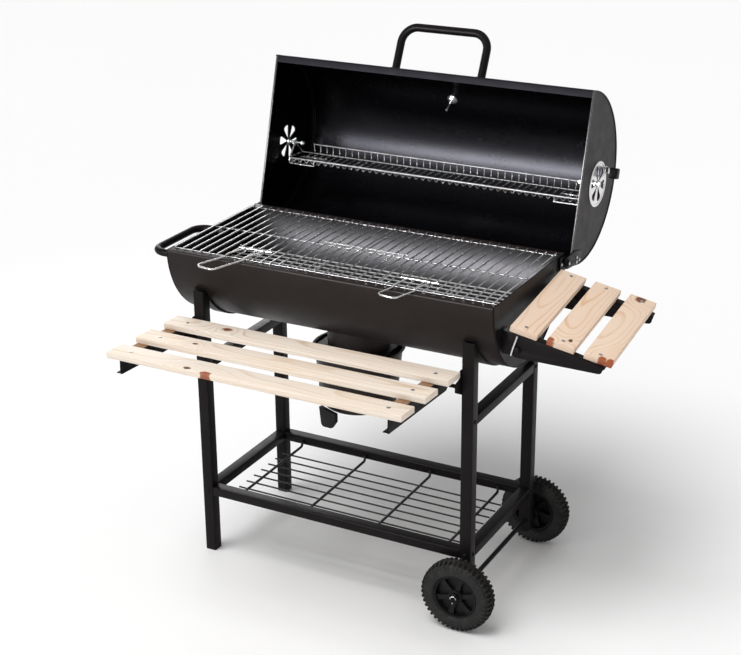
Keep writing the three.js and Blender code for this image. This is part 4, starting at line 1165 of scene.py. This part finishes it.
def side_shelf():
    knots = {
        2: [(-0.122, -0.011, 0.0050, 0.0), (-0.147, 0.024, 0.011, 0.8)],
        3: [(-0.147, -0.008, 0.009, 0.9), (-0.147, -0.024, 0.010, 0.9), (0.137, 0.003, 0.012, 0.25)],
    }
    for i in range(3):
        across = Matrix.Translation((SIDE_PITCH * i + 28, 0, -BOARD / 2)) @ Matrix.Rotation(pi / 2, 4, "Z")
        wood = pine(f"pine_side_{i + 1}", 11 + i, knots.get(i + 1, ()), pith=(0.008, -0.034),
                    pale=(0.83, 0.655, 0.52), tan=(0.64, 0.37, 0.18))
        slat(f"side_board_{i + 1}", f"side_slat_{i + 1}", "side_shelf", SIDE @ across, 294, 56, wood)
    up = SIDE.to_3x3() @ Vector((0, 0, 1))

    def under(x, y, gap):
        """A point that far below the slats' undersides."""
        return Vector((x, y, SIDE_TOP - (BOARD + gap + up.x * (x - SIDE_X) + up.y * y) / up.z))

    for end, y, inward in (("front", -139, 1), ("rear", 141, -1)):
        bm = refined(f"side_arm_{end}", 0.5)
        near, far = sorted((y, y + inward * 15))
        lip = ((near, 0.3), (far, 0.3), (far, 2.2), (near, 2.2))
        loft(bm, [[under(x, *corner) for corner in lip] for x in (391, 578)])
        keep(f"side_rail_{end}", bm, "side_shelf", "frame_paint", FRAME, replaces=[f"side_arm_{end}"])
        eased(f"side_pivot_{end}", f"side_bracket_{end}", "trolley", 0.6)
    bm = bmesh.new()
    for i in range(3):
        for y in (-132, 132):
            pan_head(bm, SIDE @ Vector((SIDE_PITCH * i + 28, y, -0.3)), up, 4.0, 1.2)
    keep("side_shelf_screws", bm, "side_shelf", "zinc", ZINC)
    # A bright zinc rod along the rounded bend of the front side bracket: a painted highlight, not a part of
    # its own.
    bm = bmesh.new()
    strap = [(403, -145, 639), (399.5, -145, 628), (395.5, -145, 616), (392, -145, 604), (390.5, -145, 597)]
    tube(bm, strap, 1.9, 10)
    keep("side_bracket_bend_highlight", bm, "trolley", "zinc", ZINC)


front_shelf()
side_shelf()


# ---- floor, light and camera ----


def studio():
    f = Finish("floor_paper", roughness=0.7)
    f.colour(f.mix(f.noise(0.6, 2), (0.92, 0.92, 0.92), (0.94, 0.94, 0.94)))
    bm = bmesh.new()
    bmesh.ops.create_grid(bm, x_segments=24, y_segments=24, size=30)
    floor = in_scene("floor", as_mesh("floor", bm))
    floor.data.materials.append(f.material)
    floor.location.z = -0.0005

    world = bpy.data.worlds.new("studio")
    world.use_nodes = True
    back = world.node_tree.nodes["Background"]
    back.inputs["Color"].default_value = (1, 1, 1, 1)
    back.inputs["Strength"].default_value = 0.45
    bpy.context.scene.world = world


def softbox(name, place, target, size, power, height):
    """A panel seen only in reflections, as the bands of light on the dark paint."""
    light = bpy.data.lights.new(name, "AREA")
    light.shape = "RECTANGLE"
    light.size = size
    light.size_y = height
    light.energy = power
    lamp = in_scene(name, light)
    lamp.matrix_world = facing(Vector(place), Vector(place) - Vector(target))
    lamp.visible_diffuse = False


def camera():
    data = bpy.data.cameras.new("camera")
    data.sensor_width = 36
    data.lens = 78.675
    data.clip_end = 100
    eye = ROW @ Vector((1502.1, -2781.8, 1817.1))
    look = Matrix.Rotation(radians(28.23), 4, "Z") @ Matrix.Rotation(radians(90 - 22.15), 4, "X")
    lens = in_scene("camera", data)
    lens.matrix_world = Matrix.Translation(eye) @ look @ Matrix.Rotation(radians(-0.51), 4, "Z")
    bpy.context.scene.camera = lens


def overhead():
    """A broad soft light from above and in front."""
    light = bpy.data.lights.new("overhead", "SUN")
    light.energy = 2.2
    light.angle = radians(38)
    lamp = in_scene("overhead", light)
    lamp.matrix_world = facing(Vector((0, 0, 4)), Vector((-0.22, -0.38, 1)))
    lamp.visible_glossy = False


studio()
overhead()
softbox("band", (-1.05, -2.3, 1.46), (0.1, 0.35, 0.85), 1.3, 80, 0.6)
softbox("wall", (-0.85, -2.3, 1.30), (0.1, 0.1, 0.65), 1.3, 52, 0.45)
softbox("backlight", (-1.7, 1.5, 1.0), (-0.3, 0.0, 0.7), 1.2, 14, 0.9)
camera()
bpy.context.scene.view_settings.view_transform = "Standard"
